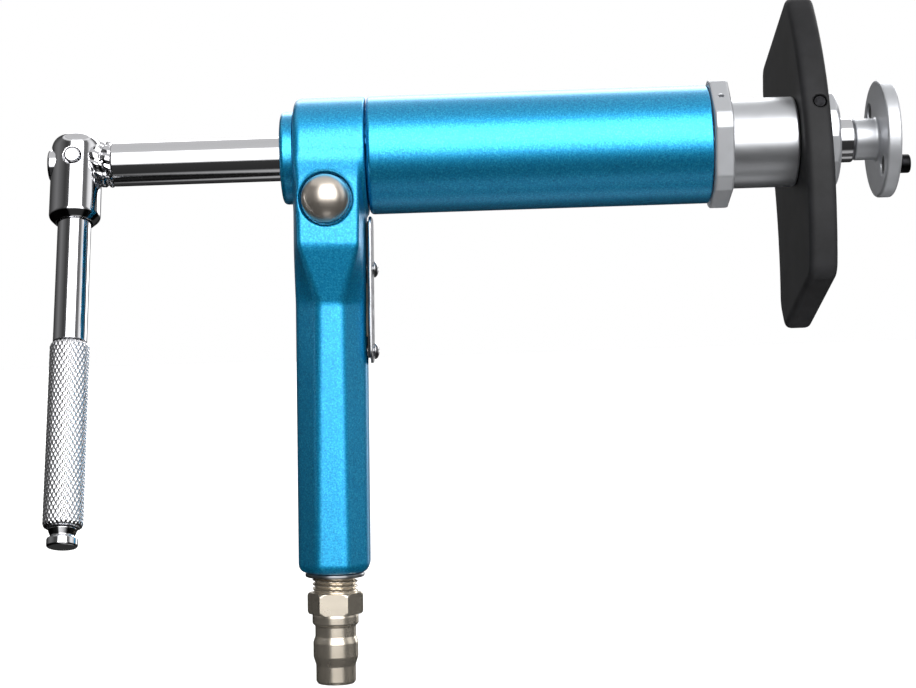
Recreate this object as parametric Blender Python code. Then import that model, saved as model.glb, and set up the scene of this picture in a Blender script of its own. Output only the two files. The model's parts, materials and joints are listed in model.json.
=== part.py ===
"""Air-driven wind-back tool for brake caliper pistons.

A pistol casting carries a barrel with an air piston. The crank rod runs right
through barrel and piston: air pushes it forward while the crank at its rear
end turns it, and the adapter on its front end screws the caliper piston back.
The black reaction plate takes the push.

Frame: +X along the rod to the front, +Z up, the near side is -Y. The origin is
where the grip's centre line meets the rod's axis. Sizes are in millimetres and
mm() turns them into metres.
"""

from math import cos, pi, radians, sin

import bmesh
import bpy
from mathutils import Matrix, Vector

# ---- clearances -----------------------------------------------------------
GAP = 0.3                    # between pieces that touch or slide
FINE = 32                    # sides of the large round pieces
COARSE = 24                  # sides of the small round pieces
BEVEL = 0.5                  # broken edge of the turned pieces
FINE_BEVEL = 0.3
PAST = 3.0                   # how far a cutter runs past what it cuts

# ---- collar, barrel and front end -----------------------------------------
COLLAR_REAR = -10.0
COLLAR_LENGTH = 20.1
COLLAR_ROUND = 1.4
SEAM = 0.8                   # dark groove between collar and barrel
BARREL_RADIUS = 17.0
BARREL_WALL = 3.0
BARREL_LENGTH = 98.1
SPIGOT_LENGTH = 7.9
REAR_CAP_WIDTH = 3.7
REAR_CAP_STEP = 3.65         # cap's edge inside the collar's
REAR_CAP_SPIGOT = 5.0
REAR_CAP_SPIGOT_WALL = 2.5
REAR_CAP_BEVEL = 1.1
RING_GROOVE_WIDTH = 2.4
RING_GROOVE_LAND = 2.0       # metal in front of the O-ring's groove
BARREL_RING_SECTION = 0.6
BUSH_LAND = 3.0              # metal in front of the rear bush
FACE_STEP = 0.1              # flats of the head block inside the collar
GLAND_FLANGE = 5.5
GLAND_CORNER_STEP = 1.6      # turned-off corners outside the barrel
GLAND_FLAT_STEP = 0.2        # wide flats outside the barrel
GLAND_SPIGOT_LENGTH = 7.7
GLAND_SPIGOT_STEP = 1.2      # spigot outside the barrel's bore
GLAND_PIN_HOLE = 0.8
GLAND_PIN_DEPTH = 2.2
GLAND_WIDE_FLAT = 20.0       # half of a wide flat's angle, in degrees
GLAND_TURN = 42.5            # degrees from +Z to the near side, middle of a wide flat
NOSE_STEP = 1.0              # nose inside the barrel's bore
NOSE_PROUD = 19.2            # nose in front of the gland nut
NOSE_FLANGE = 4.8
NOSE_SPIGOT_WALL = 1.5
FRONT_NUT_STEP = 5.1         # nut outside the nose's spigot
FRONT_NUT_WIDTH = 3.7
FRONT_NUT_SEAT = 0.6         # spot face in the plate that the nut sits in
RING_GROOVE_DEPTH = 1.6      # for the barrel's O-ring, in the casting's spigot

# ---- rod and crank --------------------------------------------------------
ROD_RADIUS = 6.5
ROD_SHOWN = 48.5             # bare rod behind the rear cap, which the stroke uses up
ROD_PROUD = 5.3              # bare rod in front of the front nut
BUSH_WALL = 0.9
ROD_SEAL_WIDTH = 3.0
TENON_STEP = 1.7             # rear end of the rod, through the crank head
DRIVE_SQUARE = 6.35          # square on the front end of the rod
DRIVE_LENGTH = 5.0
HEAD_RADIUS = 7.35
HEAD_TOP = 8.6
HEAD_BOTTOM = -18.6
HEAD_CHAMFER = 3.0
HEAD_FOOT_STEP = 2.0         # foot of the chamfer inside the head
TENON_PROUD = 0.4
BEAD_WIDTH = 3.6
BEAD_STEP = 1.7              # weld bead outside the rod
ARM_RADIUS = 4.75
ARM_CORE_RADIUS = 3.5        # inside the grip sleeve
ARM_GRIP_START = -54.8
CRANK_GRIP_RADIUS = 5.5
CRANK_GRIP_LENGTH = 53.2
END_BUTTON_RADIUS = 4.25
END_BUTTON_NECK = 2.6
END_BUTTON_FLANGE = 2.4
CROSS_PIN_RADIUS = 2.25
CROSS_PIN_PROUD = 0.5
CRANK_REST = 20.0            # degrees that the crank hangs towards the near side

# ---- piston and spring ----------------------------------------------------
PISTON_START = 3.7           # piston in front of the casting's spigot
PISTON_LENGTH = 12.0
CIRCLIP_WIDTH = 1.1
CIRCLIP_STEP = 1.4           # circlip outside the rod
CIRCLIP_GROOVE = 0.6
CIRCLIP_MOUTH = 2.0          # half the opening of a circlip
SEAL_START, SEAL_WIDTH, SEAL_DEPTH = 2.2, 2.6, 1.8    # groove in the piston, from its rear
BAND_START, BAND_WIDTH, BAND_DEPTH = 7.0, 3.2, 1.2
WASHER_WIDTH = 1.1
SPRING_WIRE = 0.9
SPRING_TURNS = 6

# ---- reaction plate -------------------------------------------------------
PLATE_TURN = 17.5            # degrees that the plate's top leans to the far side
PLATE_THICKNESS = 8.0
PLATE_HALF_LENGTH = 43.7
PLATE_NEAR = -18.5           # near side of the plate, at its middle
PLATE_FAR = 39.5             # far side of the plate, at its middle
PLATE_BOW = 12.0             # how far both sides curve towards the far side at the ends
PLATE_CORNER = 9.0
PLATE_NEAR_CORNER = 2.0
PLATE_BEVEL = 0.8
PLATE_SCREW_RADIUS = 1.6
PLATE_SCREW_LENGTH = 6.0
PLATE_SCREW_AT = 4.5        # along the plate's length from its middle

# ---- adapter --------------------------------------------------------------
ADAPTER_NECK_RADIUS = 6.0
ADAPTER_NECK_LENGTH = 6.6
ADAPTER_DISC_RADIUS = 17.0
ADAPTER_DISC_WIDTH = 4.2
PIN_RADIUS = 2.7
PIN_PROUD = 3.7
PIN_CIRCLE_RADIUS = 11.0
PIN_TURN = 67.0              # degrees from the crank's own +Y to the far pin
MAGNET_RADIUS = 2.5
MAGNET_WIDTH = 2.0

# ---- head block and grip, in the grip's own leaning frame -----------------
GRIP_RAKE = 1.3              # degrees that the grip leans to the rear
GRIP_CENTRE_X = -0.1
HEAD_FACE_HALF = 9.0
HEAD_HALF_WIDTH = 10.5
HEAD_SIDE_HALF = 9.5
LEDGE_DROP = 9.4             # ledge below the barrel
FACET_HEIGHT = 16.2          # sloping facet under the ledge
GRIP_HALF_WIDTH = 10.2
GRIP_HALF_DEPTH = 12.5
GRIP_FACE_TOP = 3.4
GRIP_FACE_BOTTOM = 4.4
GRIP_SIDE_HALF = 6.0
GRIP_BOTTOM = -120.0
GRIP_CHAMFER = 1.4
AIR_WAY_RADIUS = 4.0
PORT_WALL = 0.65             # each side of the drilled way from the valve to the barrel

# ---- valve ----------------------------------------------------------------
VALVE_X = -0.9
VALVE_WALL = 1.7             # metal between the rod bush and the valve's bore
SPOOL_RADIUS = 3.2
SPOOL_GROOVE = 0.9
SPOOL_RING_RADIUS = 0.45
SPOOL_RING_PLACES = (-7.0, 0.0, 7.0)
VALVE_TRAVEL = 4.0
BUTTON_RADIUS = 6.8
BUTTON_RECESS = 0.6
RECESS_DEPTH = 5.4
BUTTON_SIDE = 2.4
BUTTON_DOME = 5.4
BUTTON_SOCKET = 1.2

# ---- cover on the front side of the grip ----------------------------------
COVER_DROP = 0.6             # cover's top edge below the barrel
COVER_LENGTH = 42.2
COVER_HALF_WIDTH = 8.0
COVER_WIDTH = 0.9
GASKET_WIDTH = 0.5
UPPER_SCREW_DROP = 15.0      # below the cover's top edge
LOWER_SCREW_RISE = 3.5       # above the cover's bottom edge
SCREW_RADIUS = 1.5
SCREW_HEAD_RADIUS = 2.5
SCREW_HEAD_HEIGHT = 1.4
SCREW_LENGTH = 5.5
POCKET_MARGIN = 3.9          # between a cover screw's middle and the silencer pocket
POCKET_HALF_WIDTH = 4.5
POCKET_DEPTH = 3.0
EXHAUST_RADIUS = 1.4
VENT_PITCH = 4.5
GASKET_INSET = 1.5

# ---- air plug -------------------------------------------------------------
PLUG_THREAD_RADIUS = 6.58
PLUG_THREAD_IN = 9.0
PLUG_HEX_TOP = 6.1           # below the grip's bottom
PLUG_HEX_HEIGHT = 6.2
PLUG_HEX_FLATS = 14.0
PLUG_COLLAR_RADIUS = 6.7
PLUG_COLLAR_HEIGHT = 3.2
PLUG_NECK_RADIUS = 5.9
PLUG_NECK_HEIGHT = 3.5
PLUG_BULB_RADIUS = 6.5
PLUG_BULB_HEIGHT = 8.0
PLUG_TIP_RADIUS = 5.75
PLUG_TIP_HEIGHT = 5.4
PLUG_BORE = 3.2
SEAL_RING_WALL = 1.7
SEAL_RING_WIDTH = 1.2
FILTER_WIDTH = 2.4

# ---- sizes and places that follow from those above -------------------------
ROD_BORE = ROD_RADIUS + GAP
BUSH_OUTER = ROD_BORE + BUSH_WALL
BUSH_BORE = BUSH_OUTER + GAP
TENON_RADIUS = ROD_RADIUS - TENON_STEP
CIRCLIP_RADIUS = ROD_RADIUS + CIRCLIP_STEP
SPRING_RADIUS = CIRCLIP_RADIUS + 2 * GAP + SPRING_WIRE
WASHER_RADIUS = SPRING_RADIUS + SPRING_WIRE + GAP

COLLAR_FRONT = COLLAR_REAR + COLLAR_LENGTH
SPIGOT_FRONT = COLLAR_FRONT + SPIGOT_LENGTH
BARREL_REAR = COLLAR_FRONT + SEAM
BARREL_FRONT = BARREL_REAR + BARREL_LENGTH
BARREL_BORE = BARREL_RADIUS - BARREL_WALL
SPIGOT_RADIUS = BARREL_BORE - GAP
RING_GROOVE_FLOOR = SPIGOT_RADIUS - RING_GROOVE_DEPTH
PORT_Z = -(BUSH_BORE + RING_GROOVE_FLOOR) / 2
PORT_RADIUS = (RING_GROOVE_FLOOR - BUSH_BORE) / 2 - PORT_WALL
CAP_FACE = COLLAR_REAR - GAP
CAP_REAR = CAP_FACE - REAR_CAP_WIDTH
CAP_SPIGOT_END = COLLAR_REAR + REAR_CAP_SPIGOT
REAR_CAP_RADIUS = BARREL_RADIUS - REAR_CAP_STEP
REAR_CAP_SPIGOT_RADIUS = ROD_BORE + REAR_CAP_SPIGOT_WALL
REAR_SEAL_START = CAP_SPIGOT_END + 2 * GAP
REAR_SEAL_END = REAR_SEAL_START + ROD_SEAL_WIDTH
BUSH_STOP = SPIGOT_FRONT - BUSH_LAND

GLAND_FACE = BARREL_FRONT + GAP
GLAND_FRONT = GLAND_FACE + GLAND_FLANGE
GLAND_SPIGOT_END = BARREL_FRONT - GLAND_SPIGOT_LENGTH
GLAND_SPIGOT_RADIUS = BARREL_BORE + GLAND_SPIGOT_STEP
GLAND_FLAT_RADIUS = BARREL_RADIUS + GLAND_FLAT_STEP
GLAND_CORNER_RADIUS = BARREL_RADIUS + GLAND_CORNER_STEP
NOSE_RADIUS = BARREL_BORE - NOSE_STEP
NOSE_FRONT = GLAND_FRONT + NOSE_PROUD
NOSE_FLANGE_FRONT = GLAND_SPIGOT_END - GAP
NOSE_REAR = NOSE_FLANGE_FRONT - NOSE_FLANGE
NOSE_SPIGOT_RADIUS = BUSH_BORE + NOSE_SPIGOT_WALL
PLATE_REAR = NOSE_FRONT + GAP
PLATE_FRONT = PLATE_REAR + PLATE_THICKNESS
NUT_REAR = PLATE_FRONT - FRONT_NUT_SEAT + GAP
NUT_FRONT = NUT_REAR + FRONT_NUT_WIDTH
FRONT_NUT_RADIUS = NOSE_SPIGOT_RADIUS + FRONT_NUT_STEP
ROD_FRONT = NUT_FRONT + ROD_PROUD

BEAD_FRONT = CAP_REAR - ROD_SHOWN
BEAD_REAR = BEAD_FRONT - BEAD_WIDTH
BEAD_RADIUS = ROD_RADIUS + BEAD_STEP
HEAD_X = BEAD_REAR - GAP - HEAD_RADIUS
ROD_REAR = BEAD_REAR
GRIP_SLEEVE_START = ARM_GRIP_START - GAP
GRIP_SLEEVE_END = GRIP_SLEEVE_START - CRANK_GRIP_LENGTH

PISTON_REAR = SPIGOT_FRONT + PISTON_START
PISTON_FRONT = PISTON_REAR + PISTON_LENGTH
REAR_WASHER_END = PISTON_REAR - GAP
REAR_CIRCLIP_END = REAR_WASHER_END - WASHER_WIDTH - GAP
FRONT_WASHER_START = PISTON_FRONT + GAP
FRONT_CIRCLIP_START = FRONT_WASHER_START + WASHER_WIDTH + GAP
SPRING_START = FRONT_CIRCLIP_START
SPRING_SEAT_END = NOSE_REAR - GAP
SPRING_END = SPRING_SEAT_END - WASHER_WIDTH - GAP

FACE_Y = BARREL_RADIUS - FACE_STEP
LEDGE_Z = -(BARREL_RADIUS + LEDGE_DROP)
FACET_BOTTOM_Z = LEDGE_Z - FACET_HEIGHT
SIDE_FACE_X = GRIP_CENTRE_X + GRIP_HALF_WIDTH
RECESS_FLOOR = FACE_Y - RECESS_DEPTH
VALVE_Z = -(BUSH_BORE + VALVE_WALL + SPOOL_RADIUS + GAP)
COVER_TOP = -(BARREL_RADIUS + COVER_DROP)
COVER_BOTTOM = COVER_TOP - COVER_LENGTH
COVER_SCREW_PLACES = (COVER_TOP - UPPER_SCREW_DROP, COVER_BOTTOM + LOWER_SCREW_RISE)
POCKET_TOP = COVER_SCREW_PLACES[0] - POCKET_MARGIN
POCKET_BOTTOM = COVER_SCREW_PLACES[1] + POCKET_MARGIN
PLUG_HEX_TOP_Z = GRIP_BOTTOM - PLUG_HEX_TOP
PLUG_TOP = GRIP_BOTTOM + PLUG_THREAD_IN
SEAL_RING_RADIUS = PLUG_THREAD_RADIUS + GAP + SEAL_RING_WALL


def mm(*values):
    """Millimetres to metres, for one value or for several."""
    scaled = tuple(v * 0.001 for v in values)
    return scaled[0] if len(scaled) == 1 else scaled


# ---- materials ------------------------------------------------------------
def material(name, colour, roughness, metallic):
    made = bpy.data.materials.new(name)
    made.use_nodes = True
    shader = made.node_tree.nodes["Principled BSDF"]
    shader.inputs["Base Color"].default_value = (*colour, 1.0)
    shader.inputs["Roughness"].default_value = roughness
    shader.inputs["Metallic"].default_value = metallic
    made.diffuse_color = (*colour, 1.0)
    return made


FINISHES = {
    "blue_metallic_paint": ((0.01, 0.30, 0.60), 0.35, 0.6),
    "chrome": ((0.80, 0.80, 0.82), 0.08, 1.0),
    "satin_aluminium": ((0.72, 0.73, 0.75), 0.30, 1.0),
    "nickel": ((0.66, 0.62, 0.56), 0.22, 1.0),
    "black_coating": ((0.02, 0.02, 0.02), 0.55, 0.0),
    "black_steel": ((0.05, 0.05, 0.05), 0.40, 1.0),
    "spring_steel": ((0.45, 0.45, 0.46), 0.30, 1.0),
    "bronze": ((0.60, 0.38, 0.16), 0.35, 1.0),
    "rubber": ((0.02, 0.02, 0.02), 0.80, 0.0),
    "acetal": ((0.85, 0.85, 0.82), 0.40, 0.0),
    "felt": ((0.55, 0.52, 0.46), 0.95, 0.0),
    "ferrite": ((0.10, 0.10, 0.11), 0.50, 0.0),
}
MATERIALS = {name: material(name, *look) for name, look in FINISHES.items()}


# ---- the scene and its helpers --------------------------------------------
def clear_scene():
    for old in list(bpy.data.objects):
        bpy.data.objects.remove(old, do_unlink=True)


def empty(name, rotation=(0, 0, 0), parent=None):
    axis = bpy.data.objects.new(name, None)
    axis.rotation_euler = rotation
    axis.parent = parent
    bpy.context.collection.objects.link(axis)
    return axis


def place(bm, name, finish=None, parent=None, at=(0, 0, 0), smooth=40):
    """Closes the bmesh into an object, with its faces pointing out."""
    bmesh.ops.remove_doubles(bm, verts=bm.verts, dist=1e-7)
    bmesh.ops.recalc_face_normals(bm, faces=bm.faces)
    mesh = bpy.data.meshes.new(name)
    bm.to_mesh(mesh)
    bm.free()
    mesh.shade_smooth()
    mesh.set_sharp_from_angle(angle=radians(smooth))
    made = bpy.data.objects.new(name, mesh)
    made.location = mm(*at)
    made.parent = parent
    bpy.context.collection.objects.link(made)
    if finish:
        mesh.materials.append(MATERIALS[finish])
    else:
        made.hide_render = True
        made.display_type = "WIRE"
    return made


ALONG = {
    "x": Matrix.Identity(4),
    "y": Matrix.Rotation(pi / 2, 4, "Z"),
    "z": Matrix.Rotation(-pi / 2, 4, "Y"),
}


def turned(name, outline, finish=None, along="x", sides=COARSE, turn=0.0, **where):
    """A turned piece: outline is (distance along the axis, radius) round the section.

    An outline that starts and ends at radius 0 is solid, any other closes on itself.
    """
    bm = bmesh.new()
    ring = [bm.verts.new(mm(x, 0, radius)) for x, radius in outline]
    solid = outline[0][1] == 0 and outline[-1][1] == 0
    pairs = list(zip(ring, ring[1:])) + ([] if solid else [(ring[-1], ring[0])])
    edges = [bm.edges.new(pair) for pair in pairs]
    bmesh.ops.spin(
        bm, geom=ring + edges, cent=(0, 0, 0), axis=(1, 0, 0),
        angle=2 * pi, steps=sides, use_merge=True,
    )
    whole_turn = Matrix.Rotation(radians(turn), 4, "X")
    bmesh.ops.transform(bm, matrix=ALONG[along] @ whole_turn, verts=bm.verts)
    return place(bm, name, finish, **where)


def rod(name, start, end, radius, finish=None, **more):
    return turned(name, [(start, 0), (start, radius), (end, radius), (end, 0)], finish, **more)


def ring(name, start, end, inner, outer, finish=None, **more):
    outline = [(start, inner), (start, outer), (end, outer), (end, inner)]
    return turned(name, outline, finish, **more)


def o_ring(name, middle, centre_radius, section, finish="rubber", **more):
    """A ring of round section, drawn with six sides."""
    outline = [
        (middle + section * cos(pi * k / 3), centre_radius + section * sin(pi * k / 3))
        for k in range(6)
    ]
    return turned(name, outline, finish, **more)


def lofted(name, sections, finish=None, **where):
    """A closed skin over sections that all have the same number of points."""
    bm = bmesh.new()
    loops = [[bm.verts.new(mm(*point)) for point in section] for section in sections]
    count = len(loops[0])
    for lower, upper in zip(loops, loops[1:]):
        for k in range(count):
            n = (k + 1) % count
            bm.faces.new((lower[k], lower[n], upper[n], upper[k]))
    bm.faces.new(loops[0])
    bm.faces.new(loops[-1])
    bmesh.ops.triangulate(bm, faces=[f for f in bm.faces if len(f.verts) == 4])
    return place(bm, name, finish, **where)


def box(name, low, high, finish=None, **where):
    corners = [
        [(x, low[1], z), (x, high[1], z)] for x, z in
        ((low[0], low[2]), (high[0], low[2]), (high[0], high[2]), (low[0], high[2]))
    ]
    near = [pair[0] for pair in corners]
    far = [pair[1] for pair in corners]
    return lofted(name, [near, far], finish, **where)


def change(target, other, operation):
    step = target.modifiers.new(f"{operation.lower()} {other.name}", "BOOLEAN")
    step.operation = operation
    step.solver = "EXACT"
    step.object = other


def cut(target, *cutters):
    for cutter in cutters:
        change(target, cutter, "DIFFERENCE")


def join(target, *others):
    for other in others:
        change(target, other, "UNION")


def over(radius, sides):
    """Radius of a cutter whose flats clear a round piece of this radius."""
    return radius / cos(pi / sides)


# ---- the pieces -----------------------------------------------------------
def make_crank(crank):
    """The through rod with its welded crank; the arm hangs along -Z of its axis."""
    tenon_end = HEAD_X - HEAD_RADIUS - TENON_PROUD
    shaft = turned(
        "crank_rod",
        [
            (tenon_end, 0), (tenon_end, TENON_RADIUS - BEVEL), (tenon_end + BEVEL, TENON_RADIUS),
            (ROD_REAR, TENON_RADIUS), (ROD_REAR, ROD_RADIUS),
            (ROD_FRONT - BEVEL, ROD_RADIUS), (ROD_FRONT, ROD_RADIUS - BEVEL), (ROD_FRONT, 0),
        ],
        "chrome", sides=FINE, parent=crank,
    )
    half = DRIVE_SQUARE / 2
    square = box(
        "drive square", (ROD_FRONT - PAST, -half, -half), (ROD_FRONT + DRIVE_LENGTH, half, half),
        parent=crank,
    )
    join(shaft, square)
    groove_floor = ROD_RADIUS - CIRCLIP_GROOVE
    for label, end in (("rear", REAR_CIRCLIP_END), ("front", FRONT_CIRCLIP_START + CIRCLIP_WIDTH)):
        start = end - CIRCLIP_WIDTH
        groove = ring(
            f"{label} circlip groove", start - GAP, end + GAP, groove_floor, ROD_RADIUS + PAST,
            parent=crank, sides=FINE,
        )
        cut(shaft, groove)
        clip = ring(
            f"{label}_circlip", start, end, groove_floor + GAP, CIRCLIP_RADIUS,
            "spring_steel", parent=crank,
        )
        mouth = box(
            f"{label} circlip mouth", (start - PAST, -CIRCLIP_MOUTH, -CIRCLIP_RADIUS - PAST),
            (end + PAST, CIRCLIP_MOUTH, 0),
            parent=crank,
        )
        cut(clip, mouth)

    head = turned(
        "crank_head",
        [
            (HEAD_BOTTOM, 0), (HEAD_BOTTOM, HEAD_RADIUS - HEAD_FOOT_STEP),
            (HEAD_BOTTOM + HEAD_CHAMFER, HEAD_RADIUS), (HEAD_TOP - 1.5, HEAD_RADIUS),
            (HEAD_TOP - 0.4, HEAD_RADIUS - 1.2), (HEAD_TOP, HEAD_RADIUS - 3.0), (HEAD_TOP, 0),
        ],
        "chrome", along="z", sides=FINE, at=(HEAD_X, 0, 0), parent=crank,
    )
    arm_top = -(TENON_RADIUS + 2 * GAP + 1.0)
    reach = HEAD_RADIUS + PAST
    tenon_hole = rod(
        "tenon hole", HEAD_X - reach, HEAD_X + reach, over(TENON_RADIUS + GAP, COARSE),
        parent=crank,
    )
    pin_hole = rod(
        "cross pin hole", -reach, reach, over(CROSS_PIN_RADIUS + GAP, 16),
        along="y", sides=16, at=(HEAD_X, 0, 0), parent=crank,
    )
    arm_hole = rod(
        "arm hole", HEAD_BOTTOM - PAST, arm_top + GAP, over(ARM_RADIUS + GAP, COARSE),
        along="z", at=(HEAD_X, 0, 0), parent=crank,
    )
    cut(head, tenon_hole, pin_hole, arm_hole)
    cut(shaft, pin_hole)

    pin_end = HEAD_RADIUS + CROSS_PIN_PROUD
    turned(
        "crank_cross_pin",
        [
            (-pin_end, 0), (-pin_end, CROSS_PIN_RADIUS - BEVEL),
            (BEVEL - pin_end, CROSS_PIN_RADIUS), (pin_end - BEVEL, CROSS_PIN_RADIUS),
            (pin_end, CROSS_PIN_RADIUS - BEVEL), (pin_end, 0),
        ],
        "chrome", along="y", sides=16, at=(HEAD_X, 0, 0), parent=crank,
    )
    turned(
        "weld_bead",
        [
            (BEAD_REAR, ROD_BORE), (BEAD_REAR, BEAD_RADIUS - BEVEL),
            (BEAD_REAR + BEVEL, BEAD_RADIUS), (BEAD_FRONT - 2 * BEVEL, BEAD_RADIUS - BEVEL),
            (BEAD_FRONT, ROD_BORE + GAP),
            (BEAD_FRONT, ROD_BORE),
        ],
        "chrome", parent=crank,
    )
    core_end = GRIP_SLEEVE_END
    turned(
        "crank_arm",
        [
            (core_end, 0), (core_end, ARM_CORE_RADIUS), (ARM_GRIP_START, ARM_CORE_RADIUS),
            (ARM_GRIP_START, ARM_RADIUS), (arm_top, ARM_RADIUS), (arm_top, 0),
        ],
        "chrome", along="z", at=(HEAD_X, 0, 0), parent=crank,
    )
    sleeve_bore = ARM_CORE_RADIUS + GAP
    turned(
        "crank_grip",
        [
            (GRIP_SLEEVE_END, sleeve_bore), (GRIP_SLEEVE_END, CRANK_GRIP_RADIUS - 1.2),
            (GRIP_SLEEVE_END + 1.2, CRANK_GRIP_RADIUS),
            (GRIP_SLEEVE_START - 0.8, CRANK_GRIP_RADIUS),
            (GRIP_SLEEVE_START, CRANK_GRIP_RADIUS - 0.8), (GRIP_SLEEVE_START, sleeve_bore),
        ],
        "chrome", along="z", at=(HEAD_X, 0, 0), parent=crank,
    )
    neck_top = GRIP_SLEEVE_END - GAP
    flange_top = neck_top - END_BUTTON_NECK
    flange_end = flange_top - END_BUTTON_FLANGE
    turned(
        "crank_end_button",
        [
            (flange_end, 0), (flange_end, END_BUTTON_RADIUS - BEVEL),
            (flange_end + BEVEL, END_BUTTON_RADIUS), (flange_top - FINE_BEVEL, END_BUTTON_RADIUS),
            (flange_top, END_BUTTON_RADIUS - 1.0), (neck_top, END_BUTTON_RADIUS - 0.2),
            (neck_top, 0),
        ],
        "chrome", along="z", at=(HEAD_X, 0, 0), parent=crank,
    )
    ring(
        "rear_thrust_washer", REAR_WASHER_END - WASHER_WIDTH, REAR_WASHER_END,
        ROD_BORE, WASHER_RADIUS, "bronze", parent=crank,
    )
    ring(
        "front_thrust_washer", FRONT_WASHER_START, FRONT_WASHER_START + WASHER_WIDTH,
        ROD_BORE, WASHER_RADIUS, "bronze", parent=crank,
    )


def grip_section(z, rear_half, side_half, half_depth, face_half, inset=0.0):
    """Eight corners of the grip at one height; its front side is one flat from top to bottom."""
    points = []
    for k, (sx, sy) in enumerate(((1, 1), (1, -1), (-1, -1), (-1, 1))):
        half_width = GRIP_HALF_WIDTH if sx > 0 else rear_half
        corner = [
            (face_half - inset / 2, half_depth - inset), (half_width - inset, side_half - inset / 2),
        ]
        if k % 2:
            corner.reverse()
        points += [(GRIP_CENTRE_X + sx * x, sy * y, z) for x, y in corner]
    return points


def make_casting(grip):
    """Collar, spigot, head block and faceted grip, with every bore cut into them."""
    collar = turned(
        "handle_casting",
        [
            (COLLAR_REAR, 0), (COLLAR_REAR, BARREL_RADIUS - COLLAR_ROUND),
            (COLLAR_REAR + 0.3 * COLLAR_ROUND, BARREL_RADIUS - 0.3 * COLLAR_ROUND),
            (COLLAR_REAR + COLLAR_ROUND, BARREL_RADIUS), (COLLAR_FRONT, BARREL_RADIUS),
            (COLLAR_FRONT, SPIGOT_RADIUS), (SPIGOT_FRONT, SPIGOT_RADIUS), (SPIGOT_FRONT, 0),
        ],
        "blue_metallic_paint", sides=FINE,
    )
    end = GRIP_BOTTOM
    block = lofted(
        "head and grip",
        [
            grip_section(-0.4, HEAD_HALF_WIDTH, HEAD_SIDE_HALF, FACE_Y, HEAD_FACE_HALF),
            grip_section(LEDGE_Z, HEAD_HALF_WIDTH, HEAD_SIDE_HALF, FACE_Y, HEAD_FACE_HALF - 0.4),
            grip_section(FACET_BOTTOM_Z, GRIP_HALF_WIDTH, GRIP_SIDE_HALF, GRIP_HALF_DEPTH,
                         GRIP_FACE_TOP),
            grip_section(end + GRIP_CHAMFER, GRIP_HALF_WIDTH, GRIP_SIDE_HALF, GRIP_HALF_DEPTH,
                         GRIP_FACE_BOTTOM),
            grip_section(end, GRIP_HALF_WIDTH, GRIP_SIDE_HALF, GRIP_HALF_DEPTH,
                         GRIP_FACE_BOTTOM, GRIP_CHAMFER),
        ],
        parent=grip,
    )
    join(collar, block)

    bores = turned(
        "rod bores",
        [
            (CAP_REAR - PAST, 0), (CAP_REAR - PAST, over(REAR_CAP_RADIUS + GAP, FINE)),
            (COLLAR_REAR - FACE_STEP, over(REAR_CAP_RADIUS + GAP, FINE)),
            (COLLAR_REAR - FACE_STEP, over(REAR_CAP_SPIGOT_RADIUS + GAP, FINE)),
            (CAP_SPIGOT_END + GAP, over(REAR_CAP_SPIGOT_RADIUS + GAP, FINE)),
            (CAP_SPIGOT_END + GAP, over(BUSH_BORE, FINE)), (BUSH_STOP, over(BUSH_BORE, FINE)),
            (BUSH_STOP, over(ROD_BORE, FINE)), (SPIGOT_FRONT + PAST, over(ROD_BORE, FINE)),
            (SPIGOT_FRONT + PAST, 0),
        ],
        sides=FINE, turn=180 / FINE,
    )
    ring_groove_front = SPIGOT_FRONT - RING_GROOVE_LAND
    ring_groove = ring(
        "barrel ring groove", ring_groove_front - RING_GROOVE_WIDTH, ring_groove_front,
        RING_GROOVE_FLOOR, SPIGOT_RADIUS + PAST, sides=FINE,
    )
    drive_port = rod(
        "drive port", VALVE_X + 1, SPIGOT_FRONT + PAST, PORT_RADIUS, sides=12,
        at=(0, 0, PORT_Z),
    )
    valve_radius = over(SPOOL_RADIUS + GAP, COARSE)
    recess_radius = over(BUTTON_RADIUS + BUTTON_RECESS, COARSE)
    valve_bores = turned(
        "valve bores",
        [
            (-FACE_Y - PAST, 0), (-FACE_Y - PAST, recess_radius), (-RECESS_FLOOR, recess_radius),
            (-RECESS_FLOOR, valve_radius), (RECESS_FLOOR, valve_radius),
            (RECESS_FLOOR, recess_radius), (FACE_Y + PAST, recess_radius), (FACE_Y + PAST, 0),
        ],
        along="y", at=(VALVE_X, 0, VALVE_Z),
    )
    thread_radius = over(PLUG_THREAD_RADIUS + GAP, COARSE)
    filter_top = PLUG_TOP + 2 * GAP + FILTER_WIDTH
    air_way = turned(
        "air way",
        [
            (GRIP_BOTTOM - PAST, 0), (GRIP_BOTTOM - PAST, thread_radius), (filter_top, thread_radius),
            (filter_top, AIR_WAY_RADIUS), (VALVE_Z - 1, AIR_WAY_RADIUS), (VALVE_Z - 1, 0),
        ],
        along="z", at=(GRIP_CENTRE_X, 0, 0), parent=grip, turn=4,
    )
    pocket = box(
        "silencer pocket", (SIDE_FACE_X - POCKET_DEPTH, -POCKET_HALF_WIDTH, POCKET_BOTTOM),
        (SIDE_FACE_X + PAST, POCKET_HALF_WIDTH, POCKET_TOP), parent=grip,
    )
    cut(collar, ring_groove, bores, drive_port, valve_bores, air_way, pocket)
    for k, z in enumerate(COVER_SCREW_PLACES):
        tapped = rod(
            f"tapped hole {k}", SIDE_FACE_X - SCREW_LENGTH, SIDE_FACE_X + PAST,
            over(SCREW_RADIUS + GAP, 12), sides=12, at=(0, 0, z), parent=grip,
        )
        cut(collar, tapped)
    o_ring("barrel_o_ring", ring_groove_front - RING_GROOVE_WIDTH / 2,
           SPIGOT_RADIUS - BARREL_RING_SECTION - FACE_STEP, BARREL_RING_SECTION)


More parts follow.
